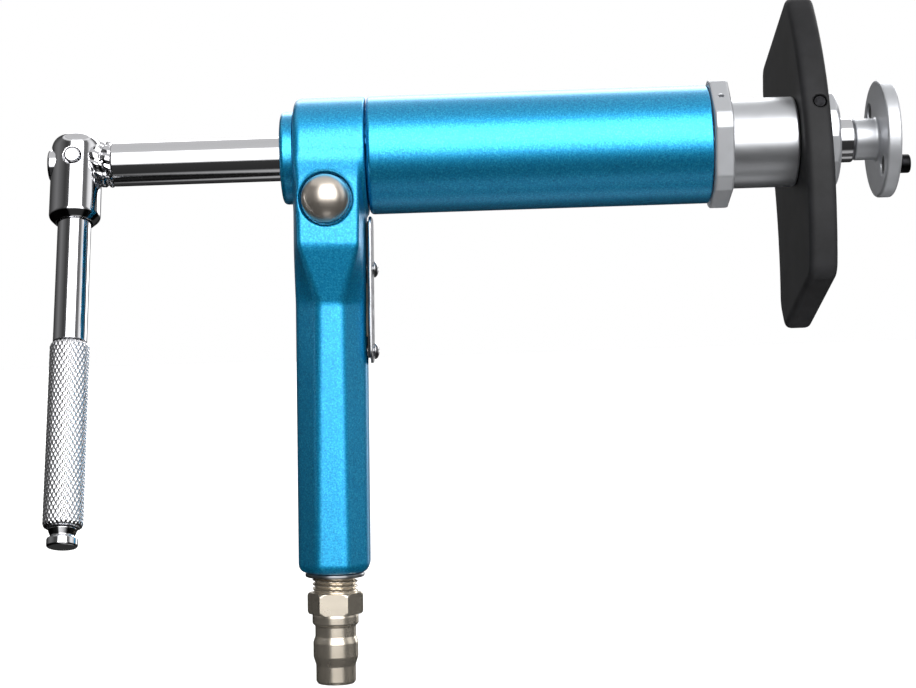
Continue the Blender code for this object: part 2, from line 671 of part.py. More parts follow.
def make_rear_end():
    """Blue cap, rod seal and bush behind the barrel."""
    turned(
        "rear_cap",
        [
            (CAP_REAR, ROD_BORE), (CAP_REAR, REAR_CAP_RADIUS - REAR_CAP_BEVEL),
            (CAP_REAR + REAR_CAP_BEVEL, REAR_CAP_RADIUS),
            (CAP_FACE, REAR_CAP_RADIUS), (CAP_FACE, REAR_CAP_SPIGOT_RADIUS),
            (CAP_SPIGOT_END, REAR_CAP_SPIGOT_RADIUS), (CAP_SPIGOT_END, ROD_BORE),
        ],
        "blue_metallic_paint", sides=FINE,
    )
    ring("rear_rod_seal", REAR_SEAL_START, REAR_SEAL_END, ROD_BORE, BUSH_OUTER, "rubber")
    ring("rear_rod_bush", REAR_SEAL_END + GAP, BUSH_STOP - GAP, ROD_BORE, BUSH_OUTER, "bronze")


def make_barrel():
    """Blue tube, gland nut, nose and what they hold."""
    counterbore = GLAND_SPIGOT_RADIUS + GAP
    turned(
        "barrel_tube",
        [
            (BARREL_REAR, BARREL_BORE), (BARREL_REAR, BARREL_RADIUS - 1.0),
            (BARREL_REAR + 0.9, BARREL_RADIUS), (BARREL_FRONT - 0.4, BARREL_RADIUS),
            (BARREL_FRONT, BARREL_RADIUS - 0.4), (BARREL_FRONT, counterbore),
            (GLAND_SPIGOT_END - GAP, counterbore), (GLAND_SPIGOT_END - GAP, BARREL_BORE),
        ],
        "blue_metallic_paint", sides=FINE,
    )
    make_gland_nut()
    turned(
        "nose",
        [
            (NOSE_REAR, BUSH_BORE), (NOSE_REAR, SPIGOT_RADIUS),
            (NOSE_FLANGE_FRONT, SPIGOT_RADIUS), (NOSE_FLANGE_FRONT, NOSE_RADIUS),
            (NOSE_FRONT - 0.4, NOSE_RADIUS), (NOSE_FRONT, NOSE_RADIUS - 0.4),
            (NOSE_FRONT, NOSE_SPIGOT_RADIUS), (NUT_FRONT, NOSE_SPIGOT_RADIUS),
            (NUT_FRONT, BUSH_BORE),
        ],
        "satin_aluminium", sides=FINE,
    )
    seal_end = NOSE_REAR + 1 + ROD_SEAL_WIDTH
    ring("front_rod_seal", NOSE_REAR + 1, seal_end, ROD_BORE, BUSH_OUTER, "rubber")
    ring("front_rod_bush", seal_end + GAP, NUT_FRONT - 1, ROD_BORE, BUSH_OUTER, "bronze")


def gland_outline(flat_radius, corner_radius):
    """Six wide flats whose corners are cut by six narrow flats."""
    points = []
    for k in range(6):
        middle = GLAND_TURN + 60 * k
        for side in (-1, 1):
            turn = radians(middle + side * GLAND_WIDE_FLAT)
            reach = min(flat_radius / cos(radians(GLAND_WIDE_FLAT)), corner_radius)
            points.append((-reach * sin(turn), reach * cos(turn)))
    return points


def make_gland_nut():
    start, end = GLAND_FACE, GLAND_FRONT
    sections = []
    for x, inset in ((start, BEVEL), (start + BEVEL, 0), (end - BEVEL, 0), (end, BEVEL)):
        outline = gland_outline(GLAND_FLAT_RADIUS - inset, GLAND_CORNER_RADIUS - inset)
        sections.append([(x, y, z) for y, z in outline])
    nut = lofted("gland_nut", sections, "satin_aluminium", smooth=20)
    spigot = rod(
        "gland spigot", GLAND_SPIGOT_END, start + BEVEL + 1, GLAND_SPIGOT_RADIUS, sides=FINE,
    )
    join(nut, spigot)
    inside = rod(
        "gland bore", GLAND_SPIGOT_END - PAST, end + PAST, over(NOSE_RADIUS + GAP, FINE), sides=FINE,
    )
    turn = Matrix.Rotation(radians(GLAND_TURN), 4, "X")
    middle = (start + end) / 2
    pin_hole = rod("gland pin hole", GLAND_FLAT_RADIUS - GLAND_PIN_DEPTH,
                   GLAND_CORNER_RADIUS + PAST, GLAND_PIN_HOLE, along="z", sides=12)
    pin_hole.matrix_world = Matrix.Translation(mm(middle, 0, 0)) @ turn
    cut(nut, inside, pin_hole)


def make_piston():
    """Piston with its seals; it slides, and the rod turns in it."""
    seal_start, seal_end = PISTON_REAR + SEAL_START, PISTON_REAR + SEAL_START + SEAL_WIDTH
    band_start, band_end = PISTON_REAR + BAND_START, PISTON_REAR + BAND_START + BAND_WIDTH
    outer = SPIGOT_RADIUS
    turned(
        "piston",
        [
            (PISTON_REAR, ROD_BORE), (PISTON_REAR, outer - BEVEL), (PISTON_REAR + BEVEL, outer),
            (seal_start, outer), (seal_start, outer - SEAL_DEPTH),
            (seal_end, outer - SEAL_DEPTH), (seal_end, outer),
            (band_start, outer), (band_start, outer - BAND_DEPTH),
            (band_end, outer - BAND_DEPTH), (band_end, outer),
            (PISTON_FRONT - BEVEL, outer), (PISTON_FRONT, outer - BEVEL),
            (PISTON_FRONT, ROD_BORE),
        ],
        "satin_aluminium", sides=FINE,
    )
    for name, start, end, depth, finish in (
        ("piston_seal", seal_start, seal_end, SEAL_DEPTH, "rubber"),
        ("piston_wear_band", band_start, band_end, BAND_DEPTH, "acetal"),
    ):
        ring(name, start + GAP, end - GAP, over(outer - depth + GAP / 2, FINE), outer, finish,
             sides=FINE)


def make_spring():
    """Return spring: a helix between the piston's washer and the nose's seat."""
    ring("spring_seat", SPRING_SEAT_END - WASHER_WIDTH, SPRING_SEAT_END, ROD_BORE,
         WASHER_RADIUS, "spring_steel")
    start = SPRING_START + SPRING_WIRE
    length = SPRING_END - SPRING_WIRE - start
    steps = SPRING_TURNS * 16
    curve = bpy.data.curves.new("return_spring", "CURVE")
    curve.dimensions = "3D"
    curve.bevel_depth = mm(SPRING_WIRE)
    curve.bevel_resolution = 1
    curve.use_fill_caps = True
    line = curve.splines.new("POLY")
    line.points.add(steps)
    for k, point in enumerate(line.points):
        turn = 2 * pi * SPRING_TURNS * k / steps
        along = start + length * k / steps
        y, z = SPRING_RADIUS * cos(turn), SPRING_RADIUS * sin(turn)
        point.co = (*mm(along, y, z), 1.0)
    spring = bpy.data.objects.new("return_spring", curve)
    curve.materials.append(MATERIALS["spring_steel"])
    bpy.context.collection.objects.link(spring)


def plate_outline():
    """Plate's edge as (along its length, across it): two bowed sides and cut far corners."""
    steps = 8
    half, trim = PLATE_HALF_LENGTH, PLATE_NEAR_CORNER

    def bowed(middle, u):
        return middle + PLATE_BOW * (u / half) ** 2

    near = [(u, bowed(PLATE_NEAR, u)) for u in
            (-half + trim + 2 * (half - trim) * k / steps for k in range(steps + 1))]
    inner = half - PLATE_CORNER
    far = [(u, bowed(PLATE_FAR, u)) for u in (inner - 2 * inner * k / steps
                                              for k in range(steps + 1))]
    low_near = bowed(PLATE_NEAR, half) + trim
    high_far = bowed(PLATE_FAR, half) - PLATE_CORNER
    return near + [(half, low_near), (half, high_far)] + far + [(-half, high_far),
                                                                (-half, low_near)]


def make_plate():
    """Black reaction plate on the nose, turned about the rod's axis."""
    lean = empty("plate_axis", (radians(-PLATE_TURN), 0, 0))
    middle_v = (PLATE_NEAR + PLATE_FAR) / 2 + PLATE_BOW / 2

    def section(x, inset):
        points = []
        for u, v in plate_outline():
            away = Vector((u, v - middle_v))
            shrink = 1 - inset / away.length
            points.append((x, middle_v + away.y * shrink, away.x * shrink))
        return points

    plate = lofted(
        "reaction_plate",
        [
            section(PLATE_REAR, PLATE_BEVEL), section(PLATE_REAR + PLATE_BEVEL, 0),
            section(PLATE_FRONT - PLATE_BEVEL, 0), section(PLATE_FRONT, PLATE_BEVEL),
        ],
        "black_coating", parent=lean, smooth=25,
    )
    hole = rod(
        "plate hole", PLATE_REAR - PAST, PLATE_FRONT + PAST, over(NOSE_SPIGOT_RADIUS + GAP, FINE),
        parent=lean, sides=FINE,
    )
    nut_seat = rod(
        "nut seat", PLATE_FRONT - FRONT_NUT_SEAT, PLATE_FRONT + PAST,
        over(FRONT_NUT_RADIUS + GAP, FINE), sides=FINE,
    )
    edge = PLATE_NEAR + PLATE_BOW * (PLATE_SCREW_AT / PLATE_HALF_LENGTH) ** 2
    screw_at = ((PLATE_REAR + PLATE_FRONT) / 2 + 1.0, edge, PLATE_SCREW_AT)
    screw_hole = rod(
        "plate screw hole", -PAST, PLATE_SCREW_LENGTH + GAP, over(PLATE_SCREW_RADIUS + GAP, 12),
        along="y", sides=12, at=screw_at, parent=lean,
    )
    cut(plate, hole, nut_seat, screw_hole)
    rod("plate_set_screw", 0.6, PLATE_SCREW_LENGTH, PLATE_SCREW_RADIUS, "black_steel",
        along="y", sides=12, at=screw_at, parent=lean)
    flats = 12
    nut = turned(
        "front_nut",
        [
            (NUT_REAR, 0), (NUT_REAR, FRONT_NUT_RADIUS), (NUT_FRONT - 1.2, FRONT_NUT_RADIUS),
            (NUT_FRONT, FRONT_NUT_RADIUS - 1.6), (NUT_FRONT, 0),
        ],
        "satin_aluminium", sides=flats, smooth=15,
    )
    nut_bore = rod("nut bore", NUT_REAR - PAST, NUT_FRONT + PAST, over(NOSE_SPIGOT_RADIUS + GAP, FINE),
                   sides=FINE)
    cut(nut, nut_bore)


def make_adapter(crank):
    """Drive disc that sits on the rod's square, with its two pins and its magnet."""
    rear = ROD_FRONT + GAP
    disc_rear = rear + ADAPTER_NECK_LENGTH
    disc_front = disc_rear + ADAPTER_DISC_WIDTH
    disc = turned(
        "adapter_disc",
        [
            (rear, 0), (rear, ADAPTER_NECK_RADIUS - FINE_BEVEL),
            (rear + FINE_BEVEL, ADAPTER_NECK_RADIUS), (disc_rear, ADAPTER_NECK_RADIUS),
            (disc_rear, ADAPTER_DISC_RADIUS - BEVEL), (disc_rear + BEVEL, ADAPTER_DISC_RADIUS),
            (disc_front - BEVEL, ADAPTER_DISC_RADIUS), (disc_front, ADAPTER_DISC_RADIUS - BEVEL),
            (disc_front, 0),
        ],
        "satin_aluminium", sides=FINE, parent=crank,
    )
    half = DRIVE_SQUARE / 2 + GAP
    socket_end = ROD_FRONT + DRIVE_LENGTH + GAP
    socket = box("square socket", (rear - PAST, -half, -half), (socket_end, half, half),
                 parent=crank)
    magnet_hole = rod(
        "magnet hole", socket_end - 1.0, socket_end + GAP + MAGNET_WIDTH + GAP,
        over(MAGNET_RADIUS + GAP, COARSE), parent=crank,
    )
    cut(disc, socket, magnet_hole)
    rod("adapter_magnet", socket_end + GAP, socket_end + GAP + MAGNET_WIDTH, MAGNET_RADIUS,
        "ferrite", parent=crank)
    for k, name in enumerate(("drive_pin_far", "drive_pin_near")):
        turn = radians(PIN_TURN + 180 * k)
        at = (0, PIN_CIRCLE_RADIUS * cos(turn), PIN_CIRCLE_RADIUS * sin(turn))
        pin_rear = disc_rear + 0.6
        pin_front = disc_front + PIN_PROUD
        turned(
            name,
            [
                (pin_rear, 0), (pin_rear, PIN_RADIUS), (pin_front - BEVEL, PIN_RADIUS),
                (pin_front, PIN_RADIUS - BEVEL), (pin_front, 0),
            ],
            "black_steel", sides=16, at=at, parent=crank,
        )
        hole = rod(f"{name} hole", disc_rear - PAST, disc_front + PAST, over(PIN_RADIUS + GAP, 16),
                   sides=16, at=at, parent=crank)
        cut(disc, hole)


def make_valve():
    """Push-through valve: a grooved spool with a domed button on each end."""
    at = (VALVE_X, 0, VALVE_Z)
    far_back = RECESS_FLOOR + GAP
    near_back = -(RECESS_FLOOR + GAP + VALVE_TRAVEL)
    outline = [(near_back - BUTTON_SOCKET, 0), (near_back - BUTTON_SOCKET, SPOOL_RADIUS)]
    for middle in SPOOL_RING_PLACES:
        y = middle - VALVE_TRAVEL / 2
        outline += [
            (y - 0.9, SPOOL_RADIUS), (y - 0.9, SPOOL_RADIUS - SPOOL_GROOVE),
            (y + 0.9, SPOOL_RADIUS - SPOOL_GROOVE), (y + 0.9, SPOOL_RADIUS),
        ]
    outline += [(far_back + BUTTON_SOCKET, SPOOL_RADIUS), (far_back + BUTTON_SOCKET, 0)]
    turned("valve_spool", outline, "spring_steel", along="y", at=at)
    for label, middle in zip(("near", "middle", "far"), SPOOL_RING_PLACES):
        o_ring(f"spool_o_ring_{label}", middle - VALVE_TRAVEL / 2,
               SPOOL_RADIUS - SPOOL_RING_RADIUS + 0.1, SPOOL_RING_RADIUS - 0.1, along="y", at=at)
    for label, back, way in (("near", near_back, -1), ("far", far_back, 1)):
        side = back + way * BUTTON_SIDE
        dome = [
            (side + way * BUTTON_DOME * sin(pi / 2 * k / 6), BUTTON_RADIUS * cos(pi / 2 * k / 6))
            for k in range(6)
        ]
        socket_floor = back + way * (BUTTON_SOCKET + GAP)
        socket_radius = over(SPOOL_RADIUS + GAP, COARSE)
        outline = [
            (socket_floor, 0), (socket_floor, socket_radius), (back, socket_radius),
            (back, BUTTON_RADIUS), *dome, (side + way * BUTTON_DOME, 0),
        ]
        turned(f"valve_button_{label}", outline, "nickel", along="y", at=at)


def make_cover(grip):
    """Plate, gasket, silencer and two screws on the front side of the grip."""
    gasket_in = SIDE_FACE_X + GAP
    cover_in = gasket_in + GASKET_WIDTH + GAP
    cover_out = cover_in + COVER_WIDTH
    half = COVER_HALF_WIDTH
    inset = GASKET_INSET
    cover = box("cover_plate", (cover_in, -half, COVER_BOTTOM), (cover_out, half, COVER_TOP),
                "satin_aluminium", parent=grip)
    gasket = box(
        "cover_gasket", (gasket_in, inset - half, COVER_BOTTOM + inset),
        (gasket_in + GASKET_WIDTH, half - inset, COVER_TOP - inset), "rubber", parent=grip,
    )
    window = box(
        "gasket window", (gasket_in - 1, -POCKET_HALF_WIDTH, POCKET_BOTTOM),
        (gasket_in + GASKET_WIDTH + 0.2, POCKET_HALF_WIDTH, POCKET_TOP), parent=grip,
    )
    cut(gasket, window)
    box(
        "silencer_pad",
        (SIDE_FACE_X - POCKET_DEPTH + GAP, GAP - POCKET_HALF_WIDTH, POCKET_BOTTOM + GAP),
        (gasket_in, POCKET_HALF_WIDTH - GAP, POCKET_TOP - GAP), "felt", parent=grip,
    )
    middle = (POCKET_TOP + POCKET_BOTTOM) / 2
    for k, step in enumerate((-VENT_PITCH, 0, VENT_PITCH)):
        vent = rod(f"vent {k}", cover_in - PAST, cover_out + PAST, EXHAUST_RADIUS, sides=12,
                   at=(0, 0, middle + step), parent=grip)
        cut(cover, vent)
    for name, z in zip(("cover_screw_upper", "cover_screw_lower"), COVER_SCREW_PLACES):
        under = cover_out + GAP
        turned(
            name,
            [
                (SIDE_FACE_X - SCREW_LENGTH + 1.0, 0),
                (SIDE_FACE_X - SCREW_LENGTH + 1.0, SCREW_RADIUS), (under, SCREW_RADIUS),
                (under, SCREW_HEAD_RADIUS), (under + 0.6 * SCREW_HEAD_HEIGHT, SCREW_HEAD_RADIUS),
                (under + SCREW_HEAD_HEIGHT, SCREW_HEAD_RADIUS - 0.9),
                (under + SCREW_HEAD_HEIGHT, 0),
            ],
            "spring_steel", sides=16, at=(0, 0, z), parent=grip,
        )
        hole = rod(f"{name} hole", gasket_in - PAST, cover_out + PAST,
                   over(SCREW_RADIUS + GAP, 16), sides=16, at=(0, 0, z), parent=grip)
        cut(cover, hole)
        cut(gasket, hole)


def make_plug(grip):
    """Quick-connect air plug screwed into the bottom of the grip."""
    at = (GRIP_CENTRE_X, 0, 0)
    hex_bottom = PLUG_HEX_TOP_Z - PLUG_HEX_HEIGHT
    collar_bottom = hex_bottom - PLUG_COLLAR_HEIGHT
    neck_bottom = collar_bottom - PLUG_NECK_HEIGHT
    bulb_bottom = neck_bottom - PLUG_BULB_HEIGHT
    tip_bottom = bulb_bottom - PLUG_TIP_HEIGHT
    plug = turned(
        "air_plug",
        [
            (PLUG_TOP, 0), (PLUG_TOP, PLUG_THREAD_RADIUS),
            (hex_bottom + 1, PLUG_THREAD_RADIUS), (hex_bottom + 0.5, PLUG_COLLAR_RADIUS),
            (collar_bottom + 0.5, PLUG_COLLAR_RADIUS),
            (collar_bottom, PLUG_COLLAR_RADIUS - 0.5), (collar_bottom, PLUG_NECK_RADIUS),
            (neck_bottom, PLUG_NECK_RADIUS), (neck_bottom - 1.2, PLUG_BULB_RADIUS),
            (bulb_bottom + 3.0, PLUG_BULB_RADIUS), (bulb_bottom, PLUG_TIP_RADIUS),
            (tip_bottom + 0.6, PLUG_TIP_RADIUS), (tip_bottom, PLUG_TIP_RADIUS - 0.6),
            (tip_bottom, 0),
        ],
        "nickel", along="z", at=at, parent=grip,
    )
    corner = PLUG_HEX_FLATS / 2 / cos(pi / 6)
    hexagon = turned(
        "plug hexagon",
        [
            (hex_bottom, 0), (hex_bottom, corner - 0.8), (hex_bottom + 0.7, corner),
            (PLUG_HEX_TOP_Z - 0.7, corner), (PLUG_HEX_TOP_Z, corner - 0.8), (PLUG_HEX_TOP_Z, 0),
        ],
        along="z", sides=6, at=at, parent=grip,
    )
    through = rod("plug bore through", tip_bottom - PAST, PLUG_TOP + PAST, PLUG_BORE, along="z",
                  at=at, parent=grip, sides=16)
    join(plug, hexagon)
    cut(plug, through)
    ring(
        "plug_seal_washer", GRIP_BOTTOM - GAP - SEAL_RING_WIDTH, GRIP_BOTTOM - GAP,
        PLUG_THREAD_RADIUS + GAP, SEAL_RING_RADIUS, "acetal", along="z", at=at, parent=grip,
    )
    filter_bottom = PLUG_TOP + GAP
    rod("inlet_filter", filter_bottom, filter_bottom + FILTER_WIDTH, PLUG_THREAD_RADIUS,
        "bronze", along="z", at=at, parent=grip)


def build():
    clear_scene()
    crank = empty("crank_axis", (radians(-CRANK_REST), 0, 0))
    grip = empty("grip_axis", (0, radians(GRIP_RAKE), 0))
    bpy.context.view_layer.update()
    make_crank(crank)
    make_casting(grip)
    make_rear_end()
    make_barrel()
    make_piston()
    make_spring()
    make_plate()
    make_adapter(crank)
    make_valve()
    make_cover(grip)
    make_plug(grip)


build()
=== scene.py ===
# %% [markdown]
# # An air-driven wind-back tool for brake caliper pistons
# A blue pistol casting carries a barrel with an air piston. A chrome crank rod runs right
# through it, and a black plate in front takes the push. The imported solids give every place
# and size; this notebook makes the surfaces that the eye sees: rounded edges, knurl, thread,
# weld, domes and the finish of each metal.

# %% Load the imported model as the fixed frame
import json
from math import atan2, ceil, cos, hypot, pi, radians, sin, tan

import bpy
import numpy as np
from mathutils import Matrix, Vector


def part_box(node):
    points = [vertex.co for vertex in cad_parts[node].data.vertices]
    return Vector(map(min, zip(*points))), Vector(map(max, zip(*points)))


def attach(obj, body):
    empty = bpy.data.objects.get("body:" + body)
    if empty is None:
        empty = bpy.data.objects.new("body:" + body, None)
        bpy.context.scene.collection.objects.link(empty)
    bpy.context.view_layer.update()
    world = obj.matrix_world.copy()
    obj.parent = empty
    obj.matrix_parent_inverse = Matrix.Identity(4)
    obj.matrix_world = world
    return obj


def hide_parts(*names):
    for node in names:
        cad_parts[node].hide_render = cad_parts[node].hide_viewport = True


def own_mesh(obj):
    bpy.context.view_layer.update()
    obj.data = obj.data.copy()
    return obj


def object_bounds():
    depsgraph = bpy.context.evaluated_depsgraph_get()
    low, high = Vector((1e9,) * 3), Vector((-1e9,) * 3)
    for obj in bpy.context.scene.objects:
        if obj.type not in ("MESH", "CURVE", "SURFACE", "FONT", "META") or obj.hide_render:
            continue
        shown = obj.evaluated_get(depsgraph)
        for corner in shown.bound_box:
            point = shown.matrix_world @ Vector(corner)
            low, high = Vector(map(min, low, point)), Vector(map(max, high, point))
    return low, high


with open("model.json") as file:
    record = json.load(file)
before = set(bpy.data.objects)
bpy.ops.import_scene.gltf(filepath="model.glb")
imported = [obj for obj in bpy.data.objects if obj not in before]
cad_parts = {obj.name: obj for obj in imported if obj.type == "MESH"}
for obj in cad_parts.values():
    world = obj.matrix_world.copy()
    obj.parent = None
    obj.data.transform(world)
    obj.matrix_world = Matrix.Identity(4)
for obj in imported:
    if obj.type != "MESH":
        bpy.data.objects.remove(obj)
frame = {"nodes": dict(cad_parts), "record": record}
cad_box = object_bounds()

scene = bpy.context.scene
MM = 0.001
body_of_node = {node: body for body, nodes in frame["record"]["behaviour"]["bodies"].items()
                for node in nodes}
slot_of_node = {part["node"]: part["material_slot"] for part in frame["record"]["subparts"]}


def span(node):
    """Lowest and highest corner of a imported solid, in millimetres."""
    low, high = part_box(node)
    return np.array(low) / MM, np.array(high) / MM


print("packed model, mm:", [round(float(b - a) / MM, 1) for a, b in zip(*cad_box)])

# %% [markdown]
# ## Sizes that the boxes can't tell
# The box of a solid gives its ends and its radius. Angles and the facets of the grip are
# design values, so they are named here, in millimetres and degrees.

# %% Design values
GAP = 0.3
CRANK_LEAN = -20.0  # the crank hangs towards the near side, turned about X
PLATE_LEAN = -17.5  # the plate's top leans to the far side
GRIP_RAKE = 1.3  # the grip leans to the rear, turned about Y
GRIP_CENTRE_X = -0.1
BARREL_WALL = 3.0
ROD_RADIUS = 6.5
VALVE_AXIS = (-0.9, -13.2)  # x and z
BUTTON_RECESS_RADIUS = 7.45
RECESS_DEPTH = 5.4

# %% [markdown]
# ## Camera and studio
# The tool stands over a plain white floor. A long lens, level with the middle of the tool,
# shows it almost without perspective.

# %% Camera
CAMERA_PLACE = (0.035, -0.5655, -0.0554)
CAMERA_ROLL = radians(1.91)
camera_data = bpy.data.cameras.new("camera")
camera_data.lens = 76.64
camera_data.sensor_width = 36.0
camera = bpy.data.objects.new("camera", camera_data)
camera.location = CAMERA_PLACE
camera.rotation_euler = (pi / 2, CAMERA_ROLL, 0)
scene.collection.objects.link(camera)
scene.camera = camera
scene.view_settings.view_transform = "Standard"


# %% [markdown]
# ## One helper for nodes, one for colours
# Every material is a small tree. `add` puts a node in it, sets it and links it, so a recipe
# reads from top to bottom. Colours are written as on a colour picker, in sRGB, and turned to
# the linear values that the shader works with.

# %% Node and colour helpers
def linear(hex_colour):
    """sRGB hex to linear red, green, blue and alpha."""
    value = np.array([int(hex_colour[k:k + 2], 16) for k in (1, 3, 5)]) / 255
    rgb = np.where(value <= 0.04045, value / 12.92, ((value + 0.055) / 1.055) ** 2.4)
    return (*rgb.tolist(), 1.0)


def add(tree, kind, inputs=None, out=0, **settings):
    """Adds a shader node, sets its properties and inputs, and returns one of its outputs."""
    made = tree.nodes.new("ShaderNode" + kind)
    for name, value in settings.items():
        setattr(made, name, value)
    for key, value in (inputs or {}).items():
        if isinstance(value, bpy.types.NodeSocket):
            tree.links.new(value, made.inputs[key])
        else:
            made.inputs[key].default_value = value
    return made.outputs[out] if made.outputs else made


def per_mm(size):
    """Scale of a pattern on coordinates in metres whose features are this many mm wide."""
    return 1 / (size * MM)


def spread(tree, value, from_range=(0.0, 1.0), to_range=(0.0, 1.0)):
    """Carries a value from one range to another."""
    limits = dict(zip(("From Min", "From Max", "To Min", "To Max"), (*from_range, *to_range)))
    return add(tree, "MapRange", {"Value": value, **limits})


def ramp(tree, factor, stops):
    """A colour ramp whose stops are (place, colour)."""
    made = add(tree, "ValToRGB", {"Fac": factor})
    points = made.node.color_ramp.elements
    for k, (place, colour) in enumerate(stops):
        point = points[k] if k < 2 else points.new(place)
        point.position, point.color = place, colour
    return made


# %% [markdown]
# ## Light by direction
# Bright metal shows its surroundings, so the studio is painted on the sky as the metal would
# see it: a large soft panel above the viewer and a little to the right, a dim ceiling, a dim
# strip at the far right, dimly lit paper straight below, and darkness between them. The rear
# half repeats the front half, except for a dim backdrop straight behind the tool, so the tool
# is lit much alike from both sides. What the camera sees past the tool is plain white.

# %% World
def grey(value):
    return (value, value, value, 1.0)


# (degrees above the horizon, brightness) and (share of the way from left to right, brightness);
# each list starts with its two ends.
LIGHT_BY_ELEVATION = ((-90, 0.09), (90, 0.12), (-66, 0.09), (-55, 0.006), (-11, 0.008), (-4, 0.30),
                      (6, 0.75), (22, 1.0), (44, 0.8), (56, 0.13))
LIGHT_BY_SIDE = ((0.0, 0.04), (1.0, 0.22), (0.24, 0.012), (0.36, 0.02), (0.41, 1.0), (0.73, 1.0),
                 (0.78, 0.03), (0.88, 0.04), (0.93, 0.18))
STUDIO_STRENGTH = 5.0


def build_world():
    world = bpy.data.worlds.new("studio")
    world.use_nodes = True
    scene.world = world
    tree = world.node_tree
    tree.nodes.clear()
    direction = add(tree, "TexCoord", out="Generated")
    parts = add(tree, "SeparateXYZ", {0: direction}).node.outputs
    depth = add(tree, "Math", {0: parts[1]}, operation="ABSOLUTE")
    side = add(tree, "Math", {0: parts[0], 1: depth}, operation="ARCTAN2")
    side_share = spread(tree, side, (-pi / 2, pi / 2))
    height = spread(tree, parts[2], (-1.0, 1.0))

    up = ramp(tree, height, [((sin(radians(degrees)) + 1) / 2, grey(level))
                             for degrees, level in LIGHT_BY_ELEVATION])
    around = ramp(tree, side_share, [(share, grey(level)) for share, level in LIGHT_BY_SIDE])
    over_panel = spread(tree, parts[2], (0.72, 0.86))
    level = add(tree, "Mix", {0: over_panel, 6: around, 7: grey(1.0)}, out=2, data_type="RGBA")
    panel = add(tree, "Mix", {0: 1.0, 6: up, 7: level}, out=2, data_type="RGBA",
                blend_type="MULTIPLY")
    backdrop = spread(tree, parts[1], (0.80, 0.93), (1.0, 0.10))
    strength = add(tree, "Math", {0: backdrop, 1: STUDIO_STRENGTH}, operation="MULTIPLY")
    studio = add(tree, "Background", {"Color": panel, "Strength": strength})
    paper = add(tree, "Background", {"Color": grey(1.0), "Strength": 1.0})
    seen = add(tree, "LightPath", out="Is Camera Ray")
    both = add(tree, "MixShader", {0: seen, 1: studio, 2: paper})
    add(tree, "OutputWorld", {"Surface": both})


build_world()


# %% [markdown]
# ## Floor
# A white sheet on a light table: it glows a little, as lit paper does. Shiny metal doesn't
# see it, because the sky above already holds what lies below the tool.

# %% Floor
def begin(name, **sockets):
    """A new material with its Principled shader; the sockets' constant values are set on it."""
    material = bpy.data.materials.new(name)
    material.use_nodes = True
    tree = material.node_tree
    shader = tree.nodes["Principled BSDF"]
    for key, value in sockets.items():
        shader.inputs[key.replace("_", " ")].default_value = value
    return material, tree, shader


FLOOR_HALF, FLOOR_DROP = 20.0, 0.03  # metres


def build_floor():
    level = float(cad_box[0].z) - FLOOR_DROP
    corners = [(x * FLOOR_HALF, y * FLOOR_HALF, level)
               for x, y in ((-1, -1), (1, -1), (1, 1), (-1, 1))]
    mesh = bpy.data.meshes.new("floor")
    mesh.from_pydata(corners, [], [(0, 1, 2, 3)])
    floor = bpy.data.objects.new("floor", mesh)
    scene.collection.objects.link(floor)
    paper, tree, shader = begin("white_paper", Base_Color=linear("#F4F4F4"), Roughness=0.9,
                                Specular_IOR_Level=0.0)
    shader.inputs["Emission Color"].default_value = linear("#FFFFFF")
    shader.inputs["Emission Strength"].default_value = 0.35
    mesh.materials.append(paper)
    floor.visible_glossy = False
    return floor


floor = build_floor()
print("floor at z", round(floor.data.vertices[0].co.z, 4))


# %% [markdown]
# ## Blue enamel
# Casting, barrel and rear cap wear a baked metallic enamel: aluminium flakes under a clear
# coat, bright cyan where they mirror the panel and deep blue elsewhere. The flakes lie at
# slightly different angles, so a fine grain tilts the surface and varies its colour.

# %% Blue enamel
def noise(tree, size_mm, **settings):
    """Noise over the piece's own coordinates, with features about this many mm wide."""
    where = add(tree, "TexCoord", out="Object")
    return add(tree, "TexNoise", {"Vector": where, "Scale": per_mm(size_mm), **settings})


def relief(tree, shader, height, height_mm):
    """Tilts the shading as if the surface rose this many mm from height 0 to height 1."""
    tilt = add(tree, "Bump", {"Height": height, "Strength": 1.0, "Distance": height_mm * MM})
    tree.links.new(tilt, shader.inputs["Normal"])


FLAKE_MM = 0.45  # real flakes are finer; this is what shows at arm's length
FLAKE_TILT_MM = 0.022
CLOUD_MM = 9.0


def build_enamel(name, roughness):
    material, tree, shader = begin(
        name, Metallic=0.9, Roughness=roughness, Coat_Weight=0.8, Coat_Roughness=0.26,
    )
    flakes = noise(tree, FLAKE_MM, Detail=3.0, Roughness=0.65)
    clouds = noise(tree, CLOUD_MM, Detail=2.0)
    colour = ramp(tree, flakes, [
        (0.30, linear("#0284BE")), (0.72, linear("#3CCBF0")), (0.5, linear("#08A2DC")),
    ])
    shade = spread(tree, clouds, to_range=(0.94, 1.05))
    tinted = add(tree, "VectorMath", {0: colour, 3: shade}, operation="SCALE")
    tree.links.new(tinted, shader.inputs["Base Color"])
    relief(tree, shader, flakes, FLAKE_TILT_MM)
    return material


enamel = build_enamel("baked_metallic_enamel_on_tube", 0.36)
cast_enamel = build_enamel("baked_metallic_enamel_on_casting", 0.44)


# %% [markdown]
# ## Chrome, nickel, aluminium and the black finishes
# Chrome plate is almost a mirror; faint polishing marks keep it from looking like glass.
# Turned aluminium keeps the lathe's fine rings, here drawn as a wave along the tool's axis.
# Nickel is warmer and a little softer. Powder coat is a fine orange peel in black.

